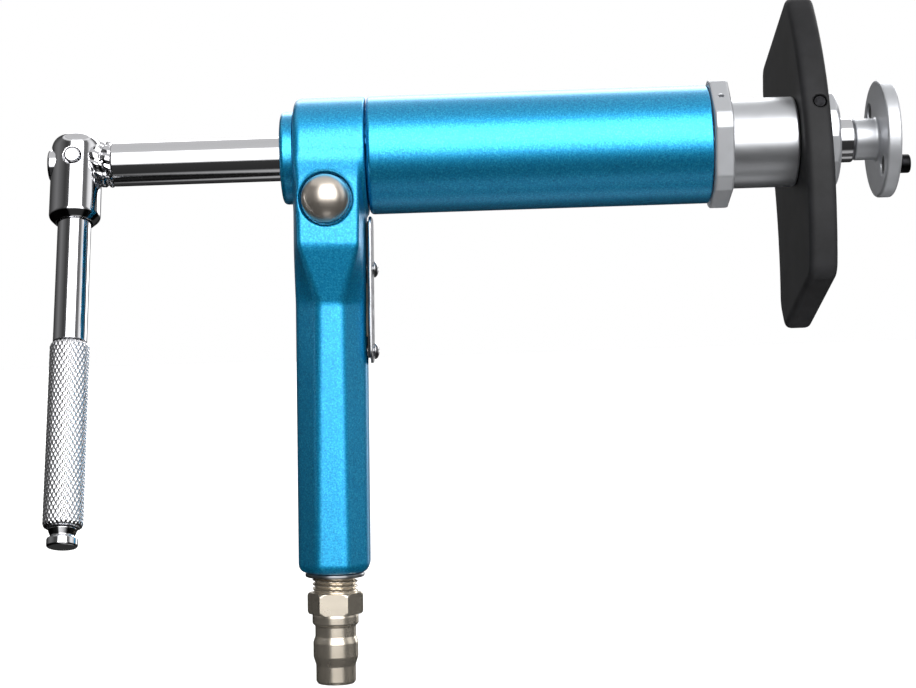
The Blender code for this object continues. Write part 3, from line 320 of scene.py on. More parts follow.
# %% Plated and turned metals
def build_chrome():
    """Bright chrome plate over polished steel."""
    material, tree, shader = begin("polished_chrome_plate", Metallic=1.0,
                                   Base_Color=linear("#E9E9EC"))
    smear = noise(tree, 6.0, Detail=4.0, Roughness=0.6)
    polish = spread(tree, smear, to_range=(0.05, 0.12))
    tree.links.new(polish, shader.inputs["Roughness"])
    relief(tree, shader, smear, 0.008)
    return material


RING_PITCH_MM = 0.7  # the lathe's rings are nearer 0.15 mm apart


def build_turned_metal(name, colour, roughness, axis, ring_height_mm=0.004, metallic=1.0):
    """Lathe-turned metal: fine rings along one axis and a slightly uneven sheen.

    A blasted or anodised surface scatters part of the light, so its metallic is under 1.
    """
    material, tree, shader = begin(name, Metallic=metallic, Base_Color=linear(colour))
    where = add(tree, "TexCoord", out="Object")
    rings = add(tree, "TexWave",
                {"Vector": where, "Scale": per_mm(RING_PITCH_MM) / 20, "Distortion": 0.6,
                 "Detail": 2.0, "Detail Scale": 3.0}, out="Fac", bands_direction=axis)
    wear = noise(tree, 3.0, Detail=4.0)
    rough = spread(tree, wear, to_range=(roughness - 0.05, roughness + 0.06))
    tree.links.new(rough, shader.inputs["Roughness"])
    relief(tree, shader, rings, ring_height_mm)
    return material


def build_black_coat():
    """Black powder coat, satin, with a fine orange peel."""
    material, tree, shader = begin("black_powder_coat", Roughness=0.56, Specular_IOR_Level=0.22)
    peel = noise(tree, 0.9, Detail=3.0)
    dust = noise(tree, 14.0, Detail=5.0, Roughness=0.6)
    colour = ramp(tree, dust, [(0.3, linear("#19191A")), (0.7, linear("#252527"))])
    tree.links.new(colour, shader.inputs["Base Color"])
    relief(tree, shader, peel, 0.02)
    return material


def build_plain(name, dark, light, roughness, metallic, grain_mm, height_mm):
    """A material whose colour wanders between two near tones over a fine grain."""
    material, tree, shader = begin(name, Metallic=metallic, Roughness=roughness)
    grain = noise(tree, grain_mm, Detail=4.0)
    colour = ramp(tree, grain, [(0.3, linear(dark)), (0.7, linear(light))])
    tree.links.new(colour, shader.inputs["Base Color"])
    relief(tree, shader, grain, height_mm)
    return material


chrome = build_chrome()
aluminium = build_turned_metal("fine_turned_aluminium", "#D6D8DC", 0.34, "X", 0.004, 0.96)
satin_aluminium = build_turned_metal("satin_anodised_aluminium", "#C6C8CC", 0.38, "X", 0.003, 0.78)
nickel = build_turned_metal("nickel_plate", "#DCD2C2", 0.25, "Z", 0.002, 0.93)
button_nickel = build_turned_metal("satin_nickel_dome", "#E0D6CA", 0.30, "Y", 0.003, 0.94)
steel = build_turned_metal("zinc_plated_steel", "#B9BABD", 0.30, "X", 0.003)
black_steel = build_plain("blackened_steel", "#161617", "#242426", 0.38, 1.0, 0.8, 0.004)
black_coat = build_black_coat()
bronze = build_plain("sintered_bronze", "#9A6B34", "#B98848", 0.42, 1.0, 0.5, 0.02)
rubber = build_plain("nitrile_rubber", "#121212", "#1E1E1E", 0.72, 0.0, 0.7, 0.01)
acetal = build_plain("white_acetal", "#DDDCD6", "#ECEBE6", 0.42, 0.0, 2.0, 0.003)
felt = build_plain("pressed_felt", "#7F786B", "#A39B8B", 0.95, 0.0, 0.4, 0.08)
ferrite = build_plain("ferrite_magnet", "#2A2A2C", "#3A3A3C", 0.5, 0.0, 0.6, 0.01)
print("materials:", len(bpy.data.materials))


# %% [markdown]
# ## Surfaces from formulas
# Two ways make nearly every piece. A turned piece is an outline carried round an axis: a grid
# of points P(s, a) = (along(s), radius(s) sin a, radius(s) cos a). Every corner of the
# outline gets a small arc, and the true normal of arc and flat goes with each point, so long
# flats stay flat in the mirror of the chrome.

# %% Outline and turning
ARC_STEP = radians(15)


def outline(corners, closed=True):
    """Corners (along, radius, fillet) to dense points and outward normals.

    The outline runs up the low end, along the outside and back along the bore, so the
    outside is at its left. Each corner becomes an arc of its fillet radius, tangent to both
    edges: it starts fillet * tan(turn / 2) before the corner.
    """
    count = len(corners)
    points, normals = [], []
    for k, (along, radius, *fillet) in enumerate(corners):
        here = np.array((along, radius), float)
        if not closed and k in (0, count - 1):
            other = corners[1] if k == 0 else corners[-2]
            edge = (np.array(other[:2]) - here) * (1 if k == 0 else -1)
            edge = edge / np.linalg.norm(edge)
            points.append(here)
            normals.append((-edge[1], edge[0]))
            continue
        before = here - np.array(corners[k - 1][:2])
        after = np.array(corners[(k + 1) % count][:2]) - here
        size_before, size_after = np.linalg.norm(before), np.linalg.norm(after)
        before, after = before / size_before, after / size_after
        turn = atan2(before[0] * after[1] - before[1] * after[0], float(before @ after))
        reach = min((fillet[0] if fillet else 0.12) * tan(abs(turn) / 2),
                    0.45 * size_before, 0.45 * size_after)
        rounding = reach / max(tan(abs(turn) / 2), 1e-6)
        steps = max(2, ceil(abs(turn) / ARC_STEP))
        start = here - before * reach
        side = 1 if turn > 0 else -1
        centre = start + side * rounding * np.array((-before[1], before[0]))
        first = atan2(-side * before[0], side * before[1])
        for step in range(steps + 1):
            angle = first + turn * step / steps
            ray = np.array((cos(angle), sin(angle)))
            points.append(centre + rounding * ray)
            normals.append(-side * ray)
    return np.array(points), np.array(normals)


def revolve(along, radius, sides):
    """Points (along, radius sin a, radius cos a): a row for each place, a column for each a."""
    angle = np.arange(sides) * 2 * pi / sides
    along, radius = np.broadcast_arrays(along, radius * np.ones(sides))
    return np.stack((along, radius * np.sin(angle), radius * np.cos(angle)), -1).reshape(-1, 3)


def turned(corners, closed, sides):
    """Vertices, faces and normals of an outline carried round the X axis."""
    profile, profile_normals = outline(corners, closed)
    points, normals = (revolve(pair[:, :1], pair[:, 1:], sides)
                       for pair in (profile, profile_normals))
    return points, grid_faces(len(profile), sides, closed), normals


def grid_faces(rows, columns, closed_rows):
    """Quads of a grid whose columns close on themselves, and whose rows do if asked."""
    row = np.arange(rows if closed_rows else rows - 1)[:, None]
    column = np.arange(columns)[None, :]
    next_row, next_column = (row + 1) % rows, (column + 1) % columns
    corners = [row * columns + column, next_row * columns + column,
               next_row * columns + next_column, row * columns + next_column]
    return np.stack([np.broadcast_to(c, (len(row), columns)) for c in corners], -1).reshape(-1, 4)


def bored(along, radius, bore):
    """Points and faces of a grid closed by two more rows that lead back through a bore."""
    sides = radius.shape[1]
    along = np.broadcast_to(along, radius.shape)
    along = np.concatenate((along, along[[-1, 0]]))
    radius = np.concatenate((radius, np.full((2, sides), bore)))
    return revolve(along, radius, sides), grid_faces(len(radius), sides, True)


def close_poles(vertices, faces, normals, columns):
    """Turns the first and last row of a solid's grid into one point each."""
    last = len(vertices) - columns
    renamed = np.arange(len(vertices))
    renamed[:columns] = 0
    renamed[last:] = last
    kept, faces = np.unique(renamed[faces], return_inverse=True)
    return vertices[kept], faces.reshape(-1, 4), None if normals is None else normals[kept]


# %% [markdown]
# ## Placing
# Axes are exchanged by a cyclic step, which turns nothing inside out, and a lean is one
# rotation of all points about the tool's axis.

# %% Placing
ROLL = {"x": 0, "z": 2, "y": 1}


def placed(points, along="x", at=(0, 0, 0), lean=0.0, lean_axis="x"):
    """Points turned from the X axis to another, shifted, then leant about X or Y."""
    moved = np.roll(points, ROLL[along], axis=-1) + np.array(at)
    c, s = cos(radians(lean)), sin(radians(lean))
    x, y, z = moved[..., 0], moved[..., 1], moved[..., 2]
    if lean_axis == "x":
        return np.stack((x, y * c - z * s, y * s + z * c), -1)
    return np.stack((x * c + z * s, y, z * c - x * s), -1)


def piece(node, vertices, faces, material, normals=None, name=None):
    """A finished piece from points in mm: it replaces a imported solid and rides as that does."""
    name = name or f"{node}_finished"
    mesh = bpy.data.meshes.new(name)
    loops = [list(dict.fromkeys(f)) for f in faces.tolist()]
    mesh.from_pydata((vertices * MM).tolist(), [], [f for f in loops if len(f) > 2])
    mesh.update()
    mesh.shade_smooth()
    if normals is not None:
        mesh.normals_split_custom_set_from_vertices(normals.tolist())
    mesh.materials.append(material)
    made = bpy.data.objects.new(name, mesh)
    scene.collection.objects.link(made)
    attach(made, body_of_node[node])
    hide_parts(node)
    print(f"{name}: {len(mesh.polygons)} faces")
    return made


def turned_piece(node, corners, material, sides=96, name=None, **where):
    """A turned outline made a piece; a solid's outline starts and ends on the axis."""
    closed = corners[0][1] > 0
    vertices, faces, normals = turned(corners, closed, sides)
    if not closed:
        vertices, faces, normals = close_poles(vertices, faces, normals, sides)
    turned_normals = placed(normals, **{k: v for k, v in where.items() if k != "at"})
    return piece(node, placed(vertices, **where), faces, material, turned_normals, name)


# %% [markdown]
# ## Cast and milled shapes: a distance formula
# The casting, plate and nuts are no sweeps: facets, recesses and cross holes meet in soft
# edges. Here a formula gives the distance to the surface, negative inside. The larger of two
# distances cuts, the smaller joins, and a soft version of either rounds the edge. A skin is
# stretched over the zero surface: one point in every grid cell that the surface crosses,
# pulled onto it by a few Newton steps.

# %% Distance tools
def soft_max(a, b, rounding):
    """Larger of two distances with a rounded edge: adds h^2 * rounding / 4 where they meet."""
    near = np.clip(1 - np.abs(a - b) / rounding, 0, None)
    return np.maximum(a, b) + near * near * rounding / 4


def soft_min(a, b, rounding):
    return -soft_max(-a, -b, rounding)


def cut(body, *cutters):
    """Takes cutters, each (distance, rounding of the edge), out of a body, one by one."""
    for cutter, rounding in cutters:
        body = soft_max(body, -cutter, rounding)
    return body


def slab(along, low, high):
    """Distance past either of two faces."""
    return np.maximum(low - along, along - high)


def cylinder(along, radial, low, high, radius, rounding=0.2):
    """Distance to a round bar: across it, and past its ends."""
    return soft_max(radial - radius, slab(along, low, high), rounding)


def bars(along, radial, steps, rounding=0.2):
    """Several round bars on one axis joined, each (low, high, radius)."""
    joined = cylinder(along, radial, *steps[0], rounding)
    for step in steps[1:]:
        joined = np.minimum(joined, cylinder(along, radial, *step, rounding))
    return joined


CORNERS = np.array([(i, j, k) for i in (0, 1) for j in (0, 1) for k in (0, 1)])
CELL_EDGES = [(a, b) for a in range(8) for b in range(a + 1, 8)
              if np.abs(CORNERS[a] - CORNERS[b]).sum() == 1]


def slope(distance, points, step=0.02):
    """Gradient of the distance, by central differences."""
    columns = []
    for axis in range(3):
        shift = np.zeros(3)
        shift[axis] = step
        ahead, behind = points + shift, points - shift
        columns.append((distance(*ahead.T) - distance(*behind.T)) / (2 * step))
    return np.stack(columns, -1)


def skin(distance, low, high, cell, newton=4):
    """Vertices, faces and normals of the zero surface of a distance formula."""
    axes = [np.arange(a - 1.5 * cell, b + 2.5 * cell, cell) for a, b in zip(low, high)]
    x, y, z = np.meshgrid(*axes, indexing="ij")
    field = distance(x, y, z)
    shape = np.array(field.shape) - 1
    inside = field < 0
    corner_inside = [inside[i:i + shape[0], j:j + shape[1], k:k + shape[2]]
                     for i, j, k in CORNERS]
    total = sum(c.astype(np.int8) for c in corner_inside)
    cells = np.argwhere((total > 0) & (total < 8))
    number = -np.ones(shape, int)
    number[tuple(cells.T)] = np.arange(len(cells))
    values = np.stack([field[tuple((cells + c).T)] for c in CORNERS], -1)
    crossings, count = np.zeros((len(cells), 3)), np.zeros(len(cells))
    for a, b in CELL_EDGES:
        crossed = (values[:, a] < 0) != (values[:, b] < 0)
        share = values[:, a] / np.where(crossed, values[:, a] - values[:, b], 1)
        spot = CORNERS[a] + share[:, None] * (CORNERS[b] - CORNERS[a])
        crossings += np.where(crossed[:, None], spot, 0)
        count += crossed
    start = np.array([axis[0] for axis in axes])
    points = start + cell * (cells + crossings / count[:, None])
    for _ in range(newton):
        gradient = slope(distance, points)
        steep = np.maximum((gradient ** 2).sum(1), 0.25)
        move = distance(*points.T)[:, None] * gradient / steep[:, None]
        size = np.linalg.norm(move, axis=1)[:, None]
        points = points - move * np.minimum(1, 0.5 * cell / np.maximum(size, 1e-9))
    faces = []
    for axis in range(3):
        ahead, u, v = np.roll(np.eye(3, dtype=int), -axis, axis=0)
        here = np.argwhere(np.diff(inside.astype(np.int8), axis=axis) != 0)
        ring = [tuple((here + shift).T) for shift in (-u - v, -v, 0 * u, -u)]
        quad = np.stack([number[place] for place in ring], -1)
        leaving = inside[tuple(here.T)] & ~inside[tuple((here + ahead).T)]
        faces.append(np.where(leaving[:, None], quad, quad[:, ::-1]))
    normals = slope(distance, points)
    normals /= np.maximum(np.linalg.norm(normals, axis=1), 1e-9)[:, None]
    return points, np.concatenate(faces), normals


def skinned_piece(node, distance, material, cell, name=None):
    """A piece stretched over a distance formula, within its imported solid's box."""
    low, high = span(node)
    points, faces, normals = skin(distance, low, high, cell)
    return piece(node, np.clip(points, low, high), faces, material, normals, name)


# %% [markdown]
# ## Handle casting
# One aluminium casting: a collar round the barrel's end, a head block with the valve across
# it, and an eight-sided grip. The section of the block changes with height, so each of its
# half sizes is a smooth curve of height, and the eight sides are the planes through them.
# Bores for rod, valve, air and screws are cut as in the real casting.

# %% Casting formula
LEDGE, FACET_END = -26.4, -42.6
HEIGHTS = (-125.0, -120.0, FACET_END, LEDGE, 0.0)
GRIP_SIZES = {
    "face_half": (4.4, 4.4, 3.4, 8.6, 9.0),
    "face_depth": (12.5, 12.5, 12.5, 16.9, 16.9),
    "side_half": (6.0, 6.0, 6.0, 9.5, 9.5),
    "rear_width": (10.2, 10.2, 10.2, 10.5, 10.5),
}
GRIP_FRONT_WIDTH = 10.2
GRIP_BOTTOM, GRIP_TOP = -120.0, -0.4
FACE_SLOPE = 0.98  # brings the leaning faces' distance near to a true one


def smooth_curve(z, values, softness=1.0):
    """A broken line over height whose kinks are rounded by averaging over +-softness mm."""
    shifts = np.linspace(-softness, softness, 5)
    return sum(np.interp(z + shift, HEIGHTS, values) for shift in shifts) / len(shifts)


def grip_block(x, y, z):
    """Eight sides of head and grip, in the leaning frame, and the rounded bottom."""
    size = {name: smooth_curve(z, values) for name, values in GRIP_SIZES.items()}
    across = x - GRIP_CENTRE_X
    width = np.where(across > 0, GRIP_FRONT_WIDTH, size["rear_width"])
    deep = np.abs(y)
    face = (deep - size["face_depth"]) * FACE_SLOPE
    side = np.abs(across) - width
    run, rise = width - size["face_half"], size["face_depth"] - size["side_half"]
    bevel = ((np.abs(across) - size["face_half"]) * rise
             + (deep - size["face_depth"]) * run) / np.hypot(run, rise)
    block = soft_max(soft_max(face, bevel, 1.3), side, 1.3)
    return soft_max(block, slab(z, GRIP_BOTTOM, GRIP_TOP), 3.0)


collar_high = span("handle_casting")[1]
barrel_low, barrel_high = span("barrel_tube")
COLLAR_RADIUS = collar_high[2]
COLLAR_REAR = -10.0
COLLAR_FRONT = barrel_low[0] - 0.5
SPIGOT_FRONT = collar_high[0]
SPIGOT_RADIUS = COLLAR_RADIUS - BARREL_WALL - GAP
rear_bush_high = span("rear_rod_bush")[1]
BUSH_BORE = rear_bush_high[2] + GAP
cap_low, cap_high = span("rear_cap")
filter_low, filter_high = span("inlet_filter")
FILTER_RADIUS = (filter_high[1] - filter_low[1]) / 2


def to_grip(x, z):
    """World x and z in the grip's leaning frame."""
    c, s = cos(radians(GRIP_RAKE)), sin(radians(GRIP_RAKE))
    return x * c - z * s, x * s + z * c


def to_lean(y, z, degrees):
    """World y and z in a frame that leans about X."""
    c, s = cos(radians(degrees)), sin(radians(degrees))
    return y * c + z * s, z * c - y * s


CAP_SPIGOT_RADIUS = ROD_RADIUS + 2.8
CAP_SPIGOT_END = -4.7
REAR_SEAL_START = -6.0
RING_GROOVE = (3.2, 1.2, 1.6)  # middle behind the spigot's front, half width, depth
SPOOL_BORE, AIR_WAY, AIR_WAY_END = 3.5, 4.0, -119.0
POCKET_FLOOR, POCKET_HALF = 7.1, 4.5
POCKET_BOTTOM, POCKET_TOP = -60.2, -36.5
TAPPED_RADIUS, TAPPED_END = 1.85, 4.4
COVER_SCREW_Z = {"cover_screw_upper": -32.6, "cover_screw_lower": -56.3}
PAST = 9.0  # how far a cutter runs past what it cuts
CASTING_CELL = 0.62


def casting_distance(x, y, z):
    """Collar, spigot and grip joined, less bores, recesses, groove, pocket and screw holes."""
    radial = np.hypot(y, z)
    collar = soft_max(radial - COLLAR_RADIUS, COLLAR_REAR - x, 2.6)
    collar = soft_max(collar, x - COLLAR_FRONT, 0.7)
    spigot = cylinder(x, radial, 0.0, SPIGOT_FRONT, SPIGOT_RADIUS, 0.6)
    gx, gz = to_grip(x, z)
    body = soft_min(collar, grip_block(gx, y, gz), 1.6)
    body = np.minimum(body, spigot)
    rod_bores = bars(x, radial, [
        (COLLAR_REAR - PAST, COLLAR_REAR, cap_high[2] + GAP),
        (COLLAR_REAR - PAST, CAP_SPIGOT_END, CAP_SPIGOT_RADIUS + GAP),
        (REAR_SEAL_START, rear_bush_high[0] + GAP, BUSH_BORE),
        (REAR_SEAL_START, SPIGOT_FRONT + PAST, ROD_RADIUS + GAP),
    ])
    behind, half_width, depth = RING_GROOVE
    groove = np.maximum(np.abs(x - (SPIGOT_FRONT - behind)) - half_width,
                        SPIGOT_RADIUS - depth - radial)
    valve_x, valve_z = VALVE_AXIS
    valve_radial = np.hypot(x - valve_x, z - valve_z)
    face = COLLAR_RADIUS - 0.1
    recess = np.maximum(valve_radial - BUTTON_RECESS_RADIUS, face - RECESS_DEPTH - np.abs(y))
    spool_bore = valve_radial - SPOOL_BORE
    air_radial = np.hypot(gx - GRIP_CENTRE_X, y)
    air = bars(gz, air_radial, [
        (GRIP_BOTTOM - PAST, filter_high[2] + GAP, FILTER_RADIUS + GAP),
        (AIR_WAY_END, valve_z - 1, AIR_WAY),
    ])
    pocket = np.maximum(np.maximum(POCKET_FLOOR - gx, np.abs(y) - POCKET_HALF),
                        slab(gz, POCKET_BOTTOM, POCKET_TOP))
    holes = [np.maximum(np.hypot(y, gz - z_screw) - TAPPED_RADIUS, TAPPED_END - gx)
             for z_screw in COVER_SCREW_Z.values()]
    body = np.maximum(cut(body, (rod_bores, 0.3)), -groove)
    return cut(body, (recess, 0.9), (spool_bore, 0.3), (air, 0.6), (pocket, 0.3),
               *((hole, 0.3) for hole in holes))


# %% Casting
skinned_piece("handle_casting", casting_distance, cast_enamel, CASTING_CELL, "casting")

# %% [markdown]
# ## Rear cap and barrel
# Both are turned. The barrel is a tube with a generously rounded rear edge, which leaves the
# dark seam between it and the collar.

# %% Rear cap and barrel
cap_radius = cap_high[2]
turned_piece("rear_cap", [
    (cap_low[0], ROD_RADIUS + GAP, 0.4), (cap_low[0], cap_radius, 1.3),
    (COLLAR_REAR - GAP, cap_radius, 0.15), (COLLAR_REAR - GAP, CAP_SPIGOT_RADIUS, 0.1),
    (cap_high[0], CAP_SPIGOT_RADIUS, 0.3), (cap_high[0], ROD_RADIUS + GAP, 0.2),
], enamel, sides=128)
barrel_radius = barrel_high[2]
barrel_bore = barrel_radius - BARREL_WALL
gland_low, gland_high = span("gland_nut")
counterbore = barrel_bore + BARREL_WALL / 2
turned_piece("barrel_tube", [
    (barrel_low[0], barrel_bore, 0.3), (barrel_low[0], barrel_radius, 1.2),
    (barrel_high[0], barrel_radius, 0.5), (barrel_high[0], counterbore, 0.2),
    (gland_low[0] - GAP, counterbore, 0.2), (gland_low[0] - GAP, barrel_bore, 0.2),
], enamel, sides=160, name="barrel")

# %% [markdown]
# ## Gland nut and nose
# The nut that closes the barrel has six wide flats with turned-off corners and a small
# blind hole for a pin spanner. The nose is a turned sleeve whose spigot carries the plate.

# %% Gland nut
GLAND_TURN = 42.5  # middle of a wide flat, from +Z to the near side
GLAND_FLAT = barrel_radius + 0.2
GLAND_CORNER = barrel_radius + 1.6
GLAND_PIN_HOLE, GLAND_PIN_DEPTH = 0.8, 2.2
gland_face = barrel_high[0] + GAP
nose_low, nose_high = span("nose")
NOSE_RADIUS = barrel_bore - 1.0


def gland_distance(x, y, z):
    """Planes of six wide and six narrow flats, radial cos(turn off a flat) - its distance."""
    radial = np.hypot(y, z)
    bearing = np.degrees(np.arctan2(-y, z)) - GLAND_TURN
    off_wide = np.radians((bearing + 30) % 60 - 30)
    off_narrow = np.radians(bearing % 60 - 30)
    wide = radial * np.cos(off_wide) - GLAND_FLAT
    narrow = radial * np.cos(off_narrow) - GLAND_CORNER
    head = soft_max(wide, narrow, 0.35)
    head = soft_max(head, radial - (GLAND_CORNER + 0.2), 0.3)
    head = soft_max(head, slab(x, gland_face, gland_high[0]), 0.9)
    spigot = cylinder(x, radial, gland_low[0], gland_face + 2, counterbore - GAP, 0.5)
    across, outward = to_lean(y, z, GLAND_TURN)
    middle = (gland_face + gland_high[0]) / 2
    pin_hole = np.maximum(np.hypot(across, x - middle) - GLAND_PIN_HOLE,
                          GLAND_FLAT - GLAND_PIN_DEPTH - outward)
    return cut(np.minimum(head, spigot), (radial - (NOSE_RADIUS + GAP), 0.5), (pin_hole, 0.25))


skinned_piece("gland_nut", gland_distance, satin_aluminium, 0.42)

# %% Nose
plate_low, plate_high = span("reaction_plate")
nut_low, nut_high = span("front_nut")
SPIGOT_OUTER = span("front_rod_bush")[1][2] + GAP + 1.5
nose_front = plate_low[0] - GAP
nose_flange_front = gland_low[0] - GAP
turned_piece("nose", [
    (nose_low[0], BUSH_BORE, 0.2), (nose_low[0], SPIGOT_RADIUS, 0.3),
    (nose_flange_front, SPIGOT_RADIUS, 0.2), (nose_flange_front, NOSE_RADIUS, 0.2),
    (nose_front, NOSE_RADIUS, 0.7), (nose_front, SPIGOT_OUTER, 0.1),
    (nose_high[0], SPIGOT_OUTER, 0.3), (nose_high[0], BUSH_BORE, 0.2),
], aluminium, sides=128)

# %% [markdown]
# ## Reaction plate
# A thick black plate with bowed long sides. In its leaning frame u runs along it and v across
# it; both sides follow the same parabola, and the far corners are cut off. Powder coat rounds
# every edge.

# %% Reaction plate
PLATE_HALF, PLATE_NEAR, PLATE_FAR = 43.7, -18.5, 39.5
PLATE_BOW, PLATE_CORNER = 12.0, 9.0
PLATE_EDGE = 2.2
SCREW_U, SCREW_FORWARD = 4.5, 1.0
SCREW_HOLE, SCREW_DEPTH = 1.95, 6.8
NUT_SEAT = 0.6  # depth of the spot face under the front nut


def corner_cut(u, v):
    """Line from the end, one corner size below the far side, to the far side."""
    far_end = PLATE_FAR + PLATE_BOW - PLATE_CORNER
    inner = PLATE_HALF - PLATE_CORNER
    inner_v = PLATE_FAR + PLATE_BOW * (inner / PLATE_HALF) ** 2
    run, rise = PLATE_CORNER, inner_v - far_end
    return ((np.abs(u) - PLATE_HALF) * rise + (v - far_end) * run) / hypot(run, rise)


def plate_distance(x, y, z):
    """Sides v = v0 + bow (u / half)^2, ends, cut corners and two faces, less three holes."""
    v, u = to_lean(y, z, PLATE_LEAN)
    bow = PLATE_BOW * (u / PLATE_HALF) ** 2
    steep = np.sqrt(1 + (2 * PLATE_BOW * u / PLATE_HALF ** 2) ** 2)
    near = (PLATE_NEAR + bow - v) / steep
    far = (v - PLATE_FAR - bow) / steep
    edge = soft_max(soft_max(near, far, 0.5), np.abs(u) - PLATE_HALF, 3.0)
    edge = soft_max(edge, corner_cut(u, v), 2.0)
    plate = soft_max(edge, slab(x, plate_low[0], plate_high[0]), PLATE_EDGE)
    radial = np.hypot(y, z)
    seat = np.maximum(radial - nut_high[2] - 2 * GAP, plate_high[0] - NUT_SEAT - x)
    screw_x = (plate_low[0] + plate_high[0]) / 2 + SCREW_FORWARD
    screw_edge = PLATE_NEAR + PLATE_BOW * (SCREW_U / PLATE_HALF) ** 2
    screw = np.maximum(np.hypot(x - screw_x, u - SCREW_U) - SCREW_HOLE,
                       v - screw_edge - SCREW_DEPTH)
    return cut(plate, (radial - (SPIGOT_OUTER + GAP), 0.4), (seat, 0.4), (screw, 0.5))


skinned_piece("reaction_plate", plate_distance, black_coat, 0.62)

# %% [markdown]
# ## Front nut
# A thin nut with twelve flats and a turned chamfer.

# %% Front nut
NUT_FLATS, NUT_CHAMFER, COS_45 = 12, 1.2, 0.7071


def nut_distance(x, y, z):
    """Twelve planes, radial cos(turn off a flat) - its distance, and a cone of 45 degrees."""
    radial = np.hypot(y, z)
    sector = 2 * pi / NUT_FLATS
    off = (np.arctan2(y, z) % sector) - sector / 2
    flats = radial * np.cos(off) - nut_high[2] * cos(sector / 2)
    chamfer = (radial - nut_high[2] + (x - nut_high[0] + NUT_CHAMFER)) * COS_45
    nut = soft_max(soft_max(flats, chamfer, 0.3), slab(x, nut_low[0], nut_high[0]), 0.5)
    return cut(nut, (radial - (SPIGOT_OUTER + GAP), 0.3))


skinned_piece("front_nut", nut_distance, satin_aluminium, 0.42)

# %% [markdown]
# ## Crank rod
# Chrome plated, from the tenon behind the crank head to the drive square in front. The
# drive end is turned round here, with a radius of half the square's width.

# %% Crank rod
rod_low, rod_high = span("crank_rod")
bead_high = span("weld_bead")[1]
head_low, head_high = span("crank_head")
HEAD_X = (head_low[0] + head_high[0]) / 2
DRIVE_SQUARE, DRIVE_LENGTH = 6.35, 5.0
TENON_RADIUS = 4.8
rod_front = rod_high[0] - DRIVE_LENGTH
rod_shoulder = bead_high[0] - 0.8
turned_piece("crank_rod", [
    (rod_low[0], 0), (rod_low[0], TENON_RADIUS, 0.8), (rod_shoulder, TENON_RADIUS, 0.1),
    (rod_shoulder, ROD_RADIUS, 0.9), (rod_front, ROD_RADIUS, 0.7),
    (rod_front, DRIVE_SQUARE / 2, 0.1), (rod_high[0], DRIVE_SQUARE / 2, 0.4), (rod_high[0], 0),
], chrome, sides=128, lean=CRANK_LEAN)

# %% [markdown]
# ## Crank head and weld
# A short upright bar, bored for the rod's tenon, the arm and a cross pin. The weld between
# it and the rod is two passes whose radius wanders round the rod, as a hand-laid bead does.

# %% Crank head
HEAD_RADIUS = 7.35
HEAD_TOP, HEAD_BOTTOM = 8.6, -18.6
HEAD_FOOT, CONE_SLOPE = 2.0, 0.83  # the low cone's foot inside the head's side, and cos 34
TENON_HOLE, PIN_HOLE, ARM_HOLE, ARM_HOLE_TOP = 5.1, 2.55, 5.05, -6.1


def head_distance(x, y, z):
    """A round bar along u with a cone at its foot and a rounded top, less three bores."""
    v, u = to_lean(y, z, CRANK_LEAN)
    around = x - HEAD_X
    radial = np.hypot(around, v)
    bar = radial - HEAD_RADIUS
    low_cone = (radial - HEAD_RADIUS + HEAD_FOOT + (HEAD_BOTTOM - u)) * CONE_SLOPE
    bar = soft_max(soft_max(bar, low_cone, 0.6), HEAD_BOTTOM - u, 0.6)
    bar = soft_max(bar, u - HEAD_TOP, 4.5)
    tenon = np.hypot(v, u) - TENON_HOLE
    pin = np.hypot(around, u) - PIN_HOLE
    arm = np.maximum(radial - ARM_HOLE, u - ARM_HOLE_TOP)
    return cut(bar, (tenon, 0.3), (pin, 0.3), (arm, 0.4))


skinned_piece("crank_head", head_distance, chrome, 0.36)

# %% Weld bead
WELD_RADIUS, WELD_CROWN, WELD_CONTACT = 5.7, 0.8, 6.0


def build_weld():
    """Two lumpy passes side by side, from the head's round side to the rod's shoulder.

    With t from 0 at the head to 1 at the rod, the radius is WELD_RADIUS plus WELD_CROWN
    |sin 2 pi t|^0.7, which makes the two passes, plus waves of 7, 13 and 23 lobes round the rod.
    """
    sides, rows = 184, 40
    angle = np.arange(sides) * 2 * pi / sides
    share = np.linspace(0, 1, rows)[:, None]
    lumps = (0.2 * np.sin(13 * angle + 1.2 + 5 * share) + 0.16 * np.sin(7 * angle + 4 - 4 * share)
             + 0.1 * np.sin(23 * angle + 9 * share))
    radius = WELD_RADIUS + WELD_CROWN * np.abs(np.sin(2 * pi * share)) ** 0.7 + lumps
    start = HEAD_X + np.sqrt(HEAD_RADIUS ** 2 - (WELD_CONTACT * np.sin(angle)) ** 2)
    points, faces = bored(start + (bead_high[0] - start) * share, radius, TENON_RADIUS + 0.1)
    return piece("weld_bead", placed(points, lean=CRANK_LEAN), faces, chrome)


build_weld()

# %% [markdown]
# ## Arm, knurled grip and end button
# The knurl is cut by two crossing screws: with t(x) a triangle wave between 0 and 1, the
# height of a diamond is the smaller of t(n a + k z) and t(n a - k z). The tips keep the
# packed radius and the valleys lie 0.32 mm deeper.

